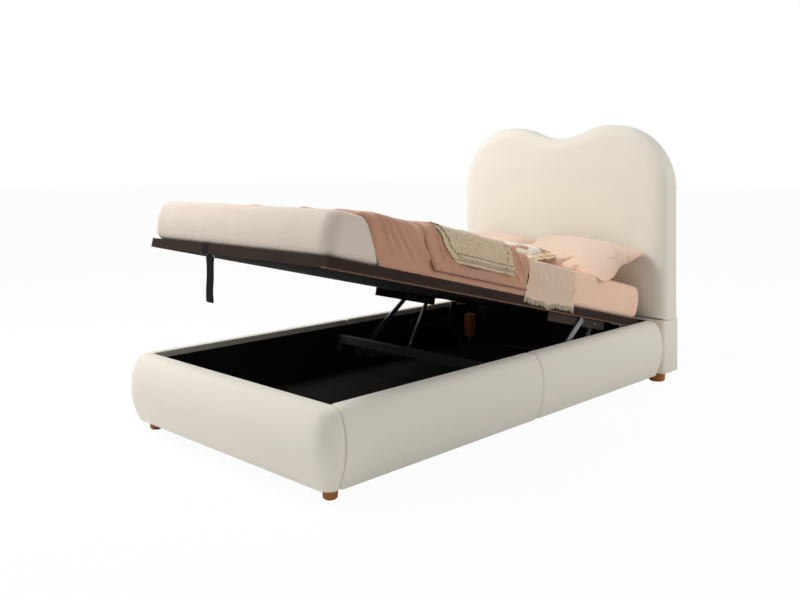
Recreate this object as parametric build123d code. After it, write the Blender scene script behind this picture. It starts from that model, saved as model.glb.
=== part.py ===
from build123d import *
import os
from math import sin, cos, radians, degrees, sqrt, atan2, hypot

# An upholstered ottoman bed: the sprung base and its mattress lift at the foot on two arms,
# two telescopic struts and two guide pins, above a storage box with a soft bumper frame.
# It is drawn half open. Millimetres, +Z up, +Y towards the headboard, +X the near side.
# The origin is on the floor, under the middle of the outline.

os.makedirs("parts", exist_ok=True)

# ---------------------------------------------------------------- overall frame
clear_width = 1010.0        # between the inner faces of the side rails
clear_length = 1938.0       # foot rail inner face to headboard front
rail_bulge = 79.0           # how far the padding stands outside the inner face
rail_top = 286.0
rail_bottom = 40.0
shoulder_radius = 40.0      # turn from the flat top into the belly
belly_radius = 220.0        # upper half of the belly
lower_radius = 275.0        # lower half of the belly
belly_height = 172.0        # height of the widest point of the padding
seam_round = 3.0            # soft edge of each cover where two covers meet
side_seam_offset = 27.0     # joint of each side rail's halves, from the middle towards the head
board_thickness = 18.0      # timber board inside each rail
board_top = 262.0

# ---------------------------------------------------------------- headboard
headboard_depth = 143.0
lobe_radius = 297.0         # the two rounded tops
lobe_height = 895.0         # centre of each lobe's arc
valley_height = 1130.0      # bottom of the dip between the lobes
headboard_edge = 28.0       # rolled edge of the upper panel
headboard_low_edge = 16.0   # rolled edge of the lower box
headboard_bottom = 50.0
headboard_seam = 292.0      # top of the lower box
headboard_seam_gap = 1.0
stay_width = 60.0           # timber stays across the seam at the back
stay_thickness = 18.0
stay_low = 120.0
stay_high = 620.0
stay_offset = 330.0

# ---------------------------------------------------------------- legs
front_leg_side = 9.0        # inside the side rails' inner faces
front_leg_inset = 10.0      # from the foot rail's inner face
front_leg_top = 50.0        # diameter at the top
front_leg_foot = 45.0
rear_leg_side = 10.0        # outside them
rear_leg_inset = 72.0       # from the headboard's front
rear_leg_top = 78.0
rear_leg_foot = 72.0
glide_thickness = 3.0

# ---------------------------------------------------------------- storage box
floor_top = 57.0
floor_thickness = 5.0
batten_width = 20.0
batten_height = 10.0
joist_width = 60.0
beam_offset = 19.0          # cross beam, from the middle towards the foot
beam_width = 30.0
beam_height = 32.0
beam_clearance = 3.0        # under the closed platform
bracket_leg = 40.0
bracket_width = 26.0
bracket_gauge = 3.0
block_size = 45.0
block_height = 150.0
post_size = 45.0
post_inset = 100.0          # near face of the head posts, from the headboard
post_bottom = 92.0
post_top = 206.0
post_bolt = 8.0             # hanger bolt diameter
post_bolt_stub = 12.0

# ---------------------------------------------------------------- lift geometry
# Stations run along the platform's top from its foot edge, drops run down from that top.
rest_tilt = 12.9            # platform tilt in the drawn pose
open_tilt = 33.0
tilt_per_turn = 0.5407      # platform tilt for each degree of arm turn
arm_pivot_inset = 855.0     # arm's base pivot, from the headboard
arm_pivot_z = 136.0
arm_length = 375.0
arm_rest_angle = 35.3       # above the horizontal, in the drawn pose
arm_head_inset = 471.0      # arm's upper pivot, from the platform's head edge
arm_drop = 50.0
strut_pivot_inset = 586.0
strut_pivot_z = 72.5
strut_head_inset = 345.0
strut_drop = 51.0
guide_inset = 115.0
guide_drop = 155.0
running_fit = 0.05          # radial clearance of every pivot

# ---------------------------------------------------------------- lift hardware
plate_gauge = 4.0           # base plates on the side rails
plate_boss = 34.0           # plate radius round the arm pivot
plate_tail = 15.0           # plate radius round the strut pivot
arm_gauge = 6.0
arm_width = 24.0
arm_eye = 14.0              # radius of the arm's ends
arm_gap = 2.0               # washer gap on each side of an arm
arm_pin = 10.0
angle_gauge = 3.0
angle_drop = 38.0           # upright flange of the angle bar
angle_flat = 36.0           # flange under the frame
angle_near_end = 270.0      # from the platform's head edge
angle_length = 430.0
strut_inset = 35.0          # strut axis inside the rail's inner face
strut_pin = 8.0
strut_eye = 9.0
strut_eye_width = 10.0
tube_diameter = 18.0
tube_bore = 9.2
tube_start = 20.0           # from the upper eye to the tube's end
tube_length = 200.0
rod_diameter = 8.0
rod_start = 8.0
rod_reach = 218.0
guide_pin = 12.0
guide_slot_clearance = 0.5
guide_web = 16.0            # steel left round the slot
lug_gauge = 4.0
lug_top_width = 64.0
lug_foot_radius = 14.0
bolt_head = 12.0
bolt_head_height = 3.0

# ---------------------------------------------------------------- platform
platform_side_gap = 5.0     # to each side rail
platform_end_gap = 28.0     # foot and head gaps together
frame_depth = 34.0
frame_board = 25.0
edge_strip = 4.0            # pale timber strip under the side boards
slat_count = 14
slat_width = 60.0
slat_thickness = 8.0
slat_round = 3.0
ledge_width = 20.0
ledge_height = 18.0
spine_width = 44.0
cloth_thickness = 0.8
strap_x = -125.0
strap_width = 30.0
strap_length = 160.0
strap_hem = 24.0
strap_web = 2.0
strap_station = 14.0
strap_drop = 8.0            # hinge wire below the frame
strap_wire = 4.0

# ---------------------------------------------------------------- mattress and bedding
mattress_side_gap = 5.0     # platform edge to mattress
mattress_end_gap = 2.5
mattress_height = 148.0
mattress_round = 26.0
soft_gap = 0.3
sheet_thickness = 1.6
sheet_start = 1028.0
sheet_low = 4.0             # lower edge above the platform's top
duvet_top = 15.0
duvet_side = 4.4
duvet_start_high = 119.0    # foot edge on the top face
duvet_start_low = 222.0     # foot edge at the hem
duvet_end = 1020.0
duvet_low = 5.0
fold_top = 13.0
fold_side = 4.0
fold_start_high = 380.0
fold_start_low = 476.0
fold_end_high = 930.0
fold_low = 16.0
knit_thickness = 6.0
knit_start_high = 440.0
knit_start_low = 567.0
knit_end_high = 850.0
knit_end_low = 892.0
knit_low = 68.0
knit_far = 120.0            # far edge, from the middle
veil_thickness = 2.4
veil_end_high = 1335.0
veil_end_low = 1372.0
veil_low = -14.0            # hangs below the platform's top
pillow_length = 490.0
pillow_depth = 390.0
pillow_crown = 112.0
pillow_draw = 16.0
pillow_tilt = 25.0
pillow_inset = 17.0         # from the platform's head edge
pillow_x = 252.0
cushion_length = 400.0
cushion_depth = 300.0
cushion_crown = 92.0
cushion_draw = 14.0
cushion_tilt = 20.0
cushion_inset = 354.0
cushion_x = 10.0

# ---------------------------------------------------------------- what follows from them
half_clear = clear_width / 2
half_outer = half_clear + rail_bulge
overall_length = rail_bulge + clear_length + headboard_depth
platform_width = clear_width - 2 * platform_side_gap
platform_length = clear_length - platform_end_gap
mattress_width = platform_width - 2 * mattress_side_gap
mattress_length = platform_length - 2 * mattress_end_gap
front_leg_x = clear_width / 2 - front_leg_side
rear_leg_x = clear_width / 2 + rear_leg_side
side_seam = clear_length / 2 + side_seam_offset    # from the foot rail's inner face
beam_position = clear_length / 2 - beam_offset
post_position = clear_length - post_inset
arm_pivot_y = clear_length - arm_pivot_inset
strut_pivot_y = clear_length - strut_pivot_inset
arm_station = platform_length - arm_head_inset
strut_station = platform_length - strut_head_inset
guide_station = platform_length - guide_inset
angle_end = platform_length - angle_near_end
angle_start = angle_end - angle_length
pillow_head = platform_length - pillow_inset
cushion_head = platform_length - cushion_inset
foot_y = -overall_length / 2 + rail_bulge          # foot rail's inner face
head_y = foot_y + clear_length                     # headboard's front face
board_out = half_clear + board_thickness

arm_base = (foot_y + arm_pivot_y, arm_pivot_z)
strut_base = (foot_y + strut_pivot_y, strut_pivot_z)
closed_turn = rest_tilt / tilt_per_turn
open_turn = (open_tilt - rest_tilt) / tilt_per_turn


def platform_point(station, drop, turn=0.0):
    """Where a point of the platform lies (Y, Z) when the arm has turned from the drawn pose."""
    tilt = radians(rest_tilt + tilt_per_turn * turn)
    lean = radians(arm_rest_angle + turn)
    along, down = station - arm_station, drop - arm_drop
    return (arm_base[0] + arm_length * cos(lean) + along * cos(tilt) - down * sin(tilt),
            arm_base[1] + arm_length * sin(lean) - along * sin(tilt) - down * cos(tilt))


foot_corner = platform_point(0, 0)
arm_head = platform_point(arm_station, arm_drop)
strut_head = platform_point(strut_station, strut_drop)
strut_reach = hypot(strut_head[0] - strut_base[0], strut_head[1] - strut_base[1])
strut_angle = degrees(atan2(strut_head[1] - strut_base[1], strut_head[0] - strut_base[0]))
closed_height = platform_point(0, 0, -closed_turn)[1]

plate_inner = half_clear - plate_gauge             # inward face of the base plates
arm_outer = plate_inner - arm_gap
arm_inner = arm_outer - arm_gauge
angle_outer = arm_inner - arm_gap - 3.0
angle_inner = angle_outer - angle_gauge
strut_x = half_clear - strut_inset
frame_under = frame_depth + cloth_thickness


# ---------------------------------------------------------------- helpers
def box(x0, x1, y0, y1, z0, z1):
    return Pos((x0 + x1) / 2, (y0 + y1) / 2, (z0 + z1) / 2) * Box(abs(x1 - x0), abs(y1 - y0), abs(z1 - z0))


def slab(x0, x1, s0, s1, t0, t1):
    """A box on the platform, by station and drop, before the platform is tilted."""
    return box(x0, x1, s0, s1, -t1, -t0)


def tilt(shape):
    """Set a piece drawn on the flat platform into the drawn, tilted pose."""
    return Location((0, foot_corner[0], foot_corner[1]), (-rest_tilt, 0, 0)) * shape


def rod_x(x0, x1, y, z, diameter):
    """A round bar along X."""
    return Pos((x0 + x1) / 2, y, z) * Rot(0, 90, 0) * Cylinder(diameter / 2, abs(x1 - x0))


def both(shape):
    """The piece on the near side and its mirror on the far side."""
    return [shape, mirror(shape, Plane.YZ)]


def side_face(sketch, x):
    """A sketch drawn in (Y, Z) set upright at the given X, facing +X."""
    return Plane(origin=(x, 0, 0), x_dir=(0, 1, 0), z_dir=(1, 0, 0)) * sketch


def upright(sketch, x0, x1):
    """A (Y, Z) sketch made solid between two X values."""
    return extrude(side_face(sketch, x0), amount=x1 - x0)


def save(name, shapes):
    shapes = shapes if isinstance(shapes, list) else [shapes]
    solids = [s for shape in shapes for s in shape.solids()]
    export_step(Compound(children=solids) if len(solids) > 1 else solids[0], f"parts/{name}.step")


# ---------------------------------------------------------------- rails
def rail_section():
    """Padded rail in section: X outward from the inner face, Y up, in three tangent arcs."""
    belly_x = rail_bulge - belly_radius
    rise = rail_top - shoulder_radius - belly_height
    shoulder_x = belly_x + sqrt((belly_radius - shoulder_radius) ** 2 - rise ** 2)
    turn = degrees(atan2(rise, shoulder_x - belly_x))
    fall = degrees(atan2(belly_height - rail_bottom,
                         sqrt(lower_radius ** 2 - (belly_height - rail_bottom) ** 2)))
    top = Line((0, rail_top), (shoulder_x, rail_top))
    crown = CenterArc((shoulder_x, rail_top - shoulder_radius), shoulder_radius, turn, 90 - turn)
    upper = CenterArc((belly_x, belly_height), belly_radius, 0, turn)
    lower = CenterArc((rail_bulge - lower_radius, belly_height), lower_radius, -fall, fall)
    under = Line(lower @ 0, (0, rail_bottom))
    inner = Line(under @ 1, top @ 0)
    return make_face([top, crown, upper, lower, under, inner])


def along_y(section, y0, y1):
    plane = Plane(origin=(half_clear, y0, 0), x_dir=(1, 0, 0), z_dir=(0, -1, 0))
    return extrude(plane * section, amount=y1 - y0, dir=(0, 1, 0))


def side_board(y0, y1):
    return box(half_clear, board_out, y0, y1, rail_bottom, board_top)


def side_cover(y0, y1):
    """Foam and fabric of one half rail, hollowed for its board, with soft seam edges."""
    body = along_y(rail_section(), y0, y1)
    ends = body.edges().filter_by(lambda e: abs(e.center().Y - y0) < 0.01 or abs(e.center().Y - y1) < 0.01)
    outer = ends.filter_by(lambda e: e.center().X > half_clear + 1 and e.center().Z > rail_bottom + 1)
    body = fillet(outer, seam_round)
    return body - side_board(y0 - 1, y1 + 1)


def foot_cover():
    """Foot rail's padding: its section runs across and turns a quarter round at each end."""
    plane = Plane(origin=(-half_clear, foot_y, 0), x_dir=(0, -1, 0), z_dir=(-1, 0, 0))
    section = plane * rail_section()
    across = extrude(section, amount=clear_width, dir=(1, 0, 0))
    far_end = revolve(section, Axis((-half_clear, foot_y, 0), (0, 0, -1)), 90)
    return (across + far_end + mirror(far_end, Plane.YZ)) - foot_board()


def foot_board():
    return box(-half_clear, half_clear, foot_y - board_thickness, foot_y, rail_bottom, board_top)


# ---------------------------------------------------------------- headboard
def headboard_outline():
    """Two round lobes with a dip between them, from three kinds of tangent arc."""
    cx = half_outer - lobe_radius
    rise = valley_height - lobe_height
    valley_radius = (cx * cx + rise * rise - lobe_radius ** 2) / (2 * (lobe_radius - rise))
    span = valley_radius + lobe_radius
    touch = (cx - cx * lobe_radius / span, lobe_height + (rise + valley_radius) * lobe_radius / span)
    base = headboard_seam + headboard_seam_gap
    right = Line((half_outer, base), (half_outer, lobe_height))
    bend = radians(50)
    lobe = ThreePointArc(right @ 1, (cx + lobe_radius * cos(bend), lobe_height + lobe_radius * sin(bend)), touch)
    dip = ThreePointArc(touch, (0, valley_height), (-touch[0], touch[1]))
    far_lobe = mirror(lobe, Plane.YZ)
    left = mirror(right, Plane.YZ)
    bottom = Line((-half_outer, base), (half_outer, base))
    return make_face([right, lobe, dip, far_lobe, left, bottom])


def headboard_panel():
    plane = Plane(origin=(0, head_y, 0), x_dir=(1, 0, 0), z_dir=(0, -1, 0))
    panel = extrude(plane * headboard_outline(), amount=headboard_depth, dir=(0, 1, 0))
    faces = [head_y, head_y + headboard_depth]
    rim = panel.edges().filter_by(lambda e: min(abs(e.center().Y - f) for f in faces) < 0.01)
    rim = rim.filter_by(lambda e: e.center().Z > headboard_seam + 5)
    return fillet(rim, headboard_edge)


def headboard_base():
    body = box(-half_outer, half_outer, head_y, head_y + headboard_depth, headboard_bottom, headboard_seam)
    uprights = body.edges().filter_by(Axis.Z)
    return fillet(uprights, headboard_low_edge)


def headboard_stays():
    back = head_y + headboard_depth
    stays, bolts = [], []
    for x in (-stay_offset, stay_offset):
        stays.append(box(x - stay_width / 2, x + stay_width / 2, back - stay_thickness, back, stay_low, stay_high))
    return stays


# ---------------------------------------------------------------- legs
def leg(x, y, height, top_d, foot_d):
    """Turned timber leg with a chamfered foot and a thin glide under it."""
    body = Pos(x, y, glide_thickness) * Cone(foot_d / 2, top_d / 2, height - glide_thickness,
                                             align=(Align.CENTER, Align.CENTER, Align.MIN))
    body = chamfer(body.edges().sort_by(Axis.Z)[0], 2)
    glide = Pos(x, y, 0) * Cylinder(foot_d / 2 - 6, glide_thickness,
                                    align=(Align.CENTER, Align.CENTER, Align.MIN))
    return body, glide


# ---------------------------------------------------------------- storage box
def beam():
    top = closed_height - frame_under - beam_clearance
    y = foot_y + beam_position
    return box(-half_clear, half_clear, y - beam_width / 2, y + beam_width / 2, top - beam_height, top)


def beam_brackets():
    """Two steel angles, each screwed to a side board and under the beam."""
    low = closed_height - frame_under - beam_clearance - beam_height
    y0 = foot_y + beam_position - bracket_width / 2
    y1 = y0 + bracket_width
    flat = box(half_clear - bracket_leg, half_clear, y0, y1, low - bracket_gauge, low)
    drop = box(half_clear - bracket_gauge, half_clear, y0, y1, low - bracket_leg, low)
    return both(flat + drop)


def corner_blocks():
    block = box(half_clear - block_size, half_clear, foot_y, foot_y + block_size,
                floor_top, floor_top + block_height)
    upright_edge = block.edges().filter_by(Axis.Z).sort_by(lambda e: e.center().X - e.center().Y)[0]
    return both(chamfer(upright_edge, 6))


def head_posts():
    y0 = foot_y + post_position
    post = box(half_clear - post_size, half_clear, y0, y0 + post_size, post_bottom, post_top)
    return both(chamfer(post.edges().filter_by(Axis.Z), 3))


def post_bolts():
    """Hanger bolts: a stub with a nut on top, and a threaded foot down to the floor panel."""
    x, y = half_clear - post_size / 2, foot_y + post_position + post_size / 2
    low = Cylinder(post_bolt / 2, post_bottom - floor_top, align=(Align.CENTER, Align.CENTER, Align.MIN))
    nut = extrude(RegularPolygon(post_bolt * 0.9, 6), amount=post_bolt * 0.7)
    lower = Pos(x, y, floor_top) * low + Pos(x, y, post_bottom - post_bolt * 0.7) * nut
    upper = Pos(x, y, post_top) * Cylinder(post_bolt / 2, post_bolt_stub,
                                           align=(Align.CENTER, Align.CENTER, Align.MIN))
    upper = upper + Pos(x, y, post_top) * extrude(RegularPolygon(post_bolt * 0.9, 6), amount=post_bolt * 0.7)
    return both(lower) + both(upper)


def floor_panels():
    seam = foot_y + beam_position
    low = floor_top - floor_thickness
    foot = box(-half_clear, half_clear, foot_y, seam, low, floor_top)
    head = box(-half_clear, half_clear, seam, head_y, low, floor_top)
    return foot, head


def floor_supports():
    """Battens along the boards and joists across, all under the floor panels."""
    top = floor_top - floor_thickness
    low = top - batten_height
    battens = both(box(half_clear - batten_width, half_clear, foot_y, head_y, low, top))
    inner = half_clear - batten_width
    joists = []
    for y in (beam_position / 2, beam_position, (beam_position + clear_length) / 2):
        joists.append(box(-inner, inner, foot_y + y - joist_width / 2, foot_y + y + joist_width / 2, low, top))
    return battens, joists


# ---------------------------------------------------------------- lift: fixed pieces
def lift_plate():
    """Steel plate on a side rail: a round boss at the arm pivot, tapering to the strut pivot."""
    boss = Pos(*arm_base) * Circle(plate_boss)
    tail = Pos(*strut_base) * Circle(plate_tail)
    web = make_hull((boss + tail).edges())
    return upright(web, plate_inner, half_clear)


def lift_plate_bolts():
    """Button heads that hold a base plate to the board behind it."""
    heads = []
    for share in (0.2, 0.45, 0.7):
        y = arm_base[0] + (strut_base[0] - arm_base[0]) * share
        z = arm_base[1] + (strut_base[1] - arm_base[1]) * share
        heads.append(rod_x(plate_inner - bolt_head_height, plate_inner, y, z, bolt_head))
    return heads


def base_studs():
    """Arm stud and strut stud, each shouldered and headed, fixed in the base plate."""
    y, z = arm_base
    arm = rod_x(arm_outer, plate_inner, y, z, arm_pin + 8)
    arm = arm + rod_x(arm_inner - arm_gap * 0.75, arm_outer, y, z, arm_pin)
    arm = arm + rod_x(arm_inner - arm_gap * 0.75 - 1.5, arm_inner - arm_gap * 0.25, y, z, arm_pin + 6)
    y, z = strut_base
    eye0, eye1 = strut_x - strut_eye_width / 2, strut_x + strut_eye_width / 2
    strut = rod_x(eye1 + 0.5, plate_inner, y, z, strut_pin + 6)
    strut = strut + rod_x(eye0 - 2.5, eye1 + 0.5, y, z, strut_pin)
    strut = strut + rod_x(eye0 - 2.5, eye0 - 0.5, y, z, strut_pin + 5)
    return [arm, strut]


def guide_path(count):
    """The guide pin's centre from closed to open, as points (Y, Z)."""
    step = (closed_turn + open_turn) / (count - 1)
    return [platform_point(guide_station, guide_drop, -closed_turn + i * step) for i in range(count)]


def ribbon(points, width):
    """A curved strip with round ends along the points."""
    line = Spline(*points)
    strip = trace(line, width)
    for p in (points[0], points[-1]):
        strip = strip + Pos(*p) * Circle(width / 2)
    return strip


def guide_plate():
    """Steel plate whose curved slot the platform's guide pin follows."""
    points = guide_path(9)
    slot = guide_pin + 2 * guide_slot_clearance
    return upright(ribbon(points, slot + 2 * guide_web) - ribbon(points, slot), plate_inner, half_clear)


# ---------------------------------------------------------------- lift: moving pieces
def arm():
    """Flat steel arm with round eyes, bored for its two pivots."""
    ends = Pos(*arm_base) * Circle(arm_eye) + Pos(*arm_head) * Circle(arm_eye)
    middle = ((arm_base[0] + arm_head[0]) / 2, (arm_base[1] + arm_head[1]) / 2)
    bar = Pos(*middle) * Rot(0, 0, arm_rest_angle) * Rectangle(arm_length, arm_width)
    hole = arm_pin / 2 + running_fit
    shape = ends + bar - Pos(*arm_base) * Circle(hole) - Pos(*arm_head) * Circle(hole)
    return upright(shape, arm_inner, arm_outer)


def arm_head_pin():
    """Headed pin through the angle bar and the arm's upper eye."""
    y, z = arm_head
    pin = rod_x(angle_inner - 3, arm_outer + 1.2, y, z, arm_pin)
    pin = pin + rod_x(angle_inner - 3, angle_inner, y, z, arm_pin + 6)
    return pin + rod_x(angle_outer, arm_inner - 0.5, y, z, arm_pin + 6)


def strut_head_pin():
    y, z = strut_head
    eye0, eye1 = strut_x - strut_eye_width / 2, strut_x + strut_eye_width / 2
    pin = rod_x(eye0 - 2.5, angle_outer + 1.5, y, z, strut_pin)
    pin = pin + rod_x(eye0 - 2.5, eye0 - 0.5, y, z, strut_pin + 5)
    return pin + rod_x(eye1 + 0.5, angle_inner, y, z, strut_pin + 6)


def angle_bar():
    """Steel angle under the side board: a flat flange on the frame and an upright one."""
    flat = slab(angle_outer - angle_flat, angle_outer, angle_start, angle_end,
                frame_depth, frame_depth + angle_gauge)
    drop = slab(angle_inner, angle_outer, angle_start, angle_end, frame_depth, frame_depth + angle_drop)
    bar = tilt(flat + drop)
    y, z = arm_head
    bar = bar - rod_x(angle_inner - 1, angle_outer + 1, y, z, arm_pin)
    y, z = strut_head
    return bar - rod_x(angle_inner - 1, angle_outer + 1, y, z, strut_pin)


def strut_place(shape, end):
    """Turn a piece drawn along +Y into the strut's line, from its lower or upper eye."""
    y, z = strut_base if end == "base" else strut_head
    turn = strut_angle if end == "base" else strut_angle + 180
    return Location((strut_x, y, z), (turn, 0, 0)) * shape


def eye(pin):
    ring = Rot(0, 90, 0) * Cylinder(strut_eye, strut_eye_width)
    return ring, Rot(0, 90, 0) * Cylinder(pin / 2 + running_fit, strut_eye_width + 2)


def bar_y(y0, y1, diameter):
    return Pos(0, (y0 + y1) / 2, 0) * Rot(90, 0, 0) * Cylinder(diameter / 2, y1 - y0)


def strut_rod():
    """Bright rod with its lower eye."""
    ring, hole = eye(strut_pin)
    body = ring + bar_y(rod_start - 1, rod_reach, rod_diameter)
    return strut_place(body - hole, "base")


def strut_tube():
    """Pressure tube with its upper eye, neck and open lower end."""
    ring, hole = eye(strut_pin)
    body = ring + bar_y(rod_start - 1, tube_start, rod_diameter) + bar_y(tube_start, tube_start + tube_length,
                                                                        tube_diameter)
    bore = bar_y(tube_start + 4, tube_start + tube_length + 1, tube_bore)
    return strut_place(body - hole - bore, "head")


def guide_lug():
    """Steel lug under the frame that carries the guide pin."""
    top = frame_depth
    s, t = guide_station, guide_drop
    x1 = plate_inner - 8.0
    x0 = x1 - lug_gauge
    shape = make_hull((Pos(s, -t) * Circle(lug_foot_radius)
                       + Pos(s, -top - 5) * Rectangle(lug_top_width * 0.7, 10)).edges())
    leaf = upright(shape, x0, x1)
    shelf = slab(angle_outer - angle_flat, x1, s - lug_top_width / 2, s + lug_top_width / 2, top, top + 3)
    pin = rod_x(x1, half_clear - 0.6, s, -t, guide_pin)
    return tilt(leaf + shelf + pin)


# ---------------------------------------------------------------- platform
def side_boards():
    half = platform_width / 2
    return both(tilt(slab(half - frame_board, half, 0, platform_length, 0, frame_depth - edge_strip)))


def edge_strips():
    half = platform_width / 2
    return both(tilt(slab(half - frame_board, half, 0, platform_length, frame_depth - edge_strip, frame_depth)))


def end_board(s0):
    inner = platform_width / 2 - frame_board
    return tilt(slab(-inner, inner, s0, s0 + frame_board, 0, frame_depth))


def slat_ledges():
    inner = platform_width / 2 - frame_board
    ledge = slab(inner - ledge_width, inner, frame_board, platform_length - frame_board,
                 slat_thickness, slat_thickness + ledge_height)
    return both(tilt(ledge))


def spine():
    return tilt(slab(-spine_width / 2, spine_width / 2, frame_board, platform_length - frame_board,
                     slat_thickness, frame_depth))


def slats():
    """A row of slats let in flush with the frame, resting on the ledges and the spine."""
    inner = platform_width / 2 - frame_board
    first = frame_board + slat_width * 0.8
    pitch = (platform_length - 2 * first) / (slat_count - 1)
    out = []
    for i in range(slat_count):
        s = first + i * pitch
        piece = slab(-inner, inner, s - slat_width / 2, s + slat_width / 2, 0, slat_thickness)
        out.append(tilt(fillet(piece.edges().filter_by(Axis.X), slat_round)))
    return out


def under_cloth():
    """Black lining under the slats, between the two angle bars."""
    half, lap = angle_outer - angle_flat - 1, frame_board * 0.8
    return tilt(slab(-half, half, lap, platform_length - lap, frame_depth, frame_under))


def strap_place(shape):
    """Set a piece drawn round the strap's hinge wire into place, hanging plumb."""
    y, z = platform_point(strap_station, frame_depth + strap_drop)
    return Pos(strap_x, y, z) * shape


def strap_hanger():
    """Wire staple under the foot board that carries the pull strap."""
    reach = strap_width / 2 + 5
    wire = rod_x(strap_x - reach, strap_x + reach, strap_station, -(frame_depth + strap_drop), strap_wire)
    for x in (strap_x - reach, strap_x + reach):
        wire = wire + slab(x - 2, x + 2, strap_station - 3, strap_station + 3, frame_depth,
                           frame_depth + strap_drop + strap_wire / 2)
    return tilt(wire)


def pull_strap():
    """Doubled webbing: an eye round the hinge wire, a flat length and a folded, thicker end."""
    eye_radius = strap_wire / 2 + running_fit
    outer = Circle(eye_radius + strap_web)
    outer = outer + Pos(0, -strap_length / 2) * Rectangle(2 * strap_web, strap_length)
    outer = outer + Pos(0, -strap_length + strap_hem / 2) * Rectangle(3.4 * strap_web, strap_hem)
    return strap_place(upright(outer - Circle(eye_radius), -strap_width / 2, strap_width / 2))


# ---------------------------------------------------------------- mattress and bedding
def cloth_section(half, high, low, corner):
    """Front view of a layer over the mattress: round upper corners, cut square at its hem."""
    body = Pos(0, high / 2 + low / 2) * Rectangle(2 * half, high - low)
    corners = body.vertices().sort_by(Axis.Y)[-2:]
    return fillet(corners, corner)


def lengthwise(section, s0, s1):
    plane = Plane(origin=(0, s0, 0), x_dir=(1, 0, 0), z_dir=(0, -1, 0))
    return extrude(plane * section, amount=s1 - s0, dir=(0, 1, 0))


def drape(inner_side, inner_top, side, top, hem, outline):
    """A layer of bedding: the shell between two sections, cut to an outline of stations and drops."""
    half, high = mattress_width / 2, mattress_height
    s0 = min(p[0] for p in outline)
    s1 = max(p[0] for p in outline)
    outer = cloth_section(half + inner_side + side, high + inner_top + top, hem, mattress_round + side)
    inner = cloth_section(half + inner_side, high + inner_top, hem - 5, mattress_round)
    shell = lengthwise(outer, s0, s1) - lengthwise(inner, s0 - 1, s1 + 1)
    view = make_face(Polyline(*[(s, -t) for s, t in outline], close=True))
    return shell & upright(view, -half - 60, half + 60)


def mattress():
    half = mattress_width / 2
    s0 = (platform_length - mattress_length) / 2
    body = slab(-half, half, s0, s0 + mattress_length, -mattress_height, 0)
    body = fillet(body.edges().filter_by(Axis.Z), mattress_round + 10)
    rims = body.edges().group_by(Axis.Z)
    return fillet(rims[0] + rims[-1], mattress_round)


def sheet():
    """Fitted sheet over the head half of the mattress."""
    end = (platform_length + mattress_length) / 2 - mattress_round
    top = -mattress_height - 40
    return drape(soft_gap, soft_gap, sheet_thickness, sheet_thickness, sheet_low,
                 [(sheet_start, top), (sheet_start, -sheet_low), (end, -sheet_low), (end, top)])


def duvet():
    top = -mattress_height - 40
    return drape(soft_gap, soft_gap, duvet_side, duvet_top, duvet_low,
                 [(duvet_start_high, top), (duvet_start_high, -mattress_height),
                  (duvet_start_low, -duvet_low), (duvet_end, -duvet_low), (duvet_end, top)])


def duvet_fold():
    top = -mattress_height - 60
    return drape(duvet_side + 2 * soft_gap, duvet_top + 2 * soft_gap, fold_side, fold_top, fold_low,
                 [(fold_start_high, top), (fold_start_high, -mattress_height),
                  (fold_start_low, -fold_low), (duvet_end, -fold_low), (fold_end_high, -mattress_height),
                  (fold_end_high, top)])


def knit_throw():
    """Knitted throw over the folded duvet, hanging on the near side only."""
    top = -mattress_height - 80
    whole = drape(duvet_side + fold_side + 3 * soft_gap, duvet_top + fold_top + 3 * soft_gap, knit_thickness,
                  knit_thickness, knit_low,
                  [(knit_start_high, top), (knit_start_high, -mattress_height - 20), (knit_start_low, -knit_low),
                   (knit_end_low, -knit_low), (knit_end_high, -mattress_height - 20), (knit_end_high, top)])
    return whole & slab(-knit_far, mattress_width, 0, platform_length, -400, 0)


def veil():
    """Thin fringed blanket whose sides hang past the platform's edge."""
    top = -mattress_height - 40
    out = (platform_width - mattress_width) / 2 + soft_gap
    return drape(out, sheet_thickness + 2 * soft_gap, veil_thickness, veil_thickness, veil_low,
                 [(sheet_start, top), (sheet_start, -veil_low), (veil_end_low, -veil_low),
                  (veil_end_high, -mattress_height), (veil_end_high, top)])


def pillow(length, depth, crown, draw):
    """Pillow: four drawn-in sides and a crown that falls away to the seam all round."""
    l, d = length / 2, depth / 2
    corners = [(-l, -d), (l, -d), (l, d), (-l, d)]
    mids = [(0, -d + draw), (l - draw, 0), (0, d - draw), (-l + draw, 0)]
    edges = [ThreePointArc(corners[i], mids[i], corners[(i + 1) % 4]) for i in range(4)]
    face = make_face(edges)
    steps = [(0.0, 1.0), (0.30, 0.965), (0.60, 0.87), (0.85, 0.70), (1.0, 0.40)]
    sections = [Pos(0, 0, crown / 2 * h) * scale(face, by=(k, k, 1)) for h, k in steps]
    half = loft(sections)
    return half + mirror(half, Plane.XY)


def lay(shape, x, head, lean, rest_on):
    """Lean a pillow back and lower it until it just clears what it lies on."""
    shape = Rot(lean, 0, 0) * shape
    bb = shape.bounding_box()
    return tilt(Pos(x, head - bb.max.Y, rest_on - bb.min.Z) * shape)


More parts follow.
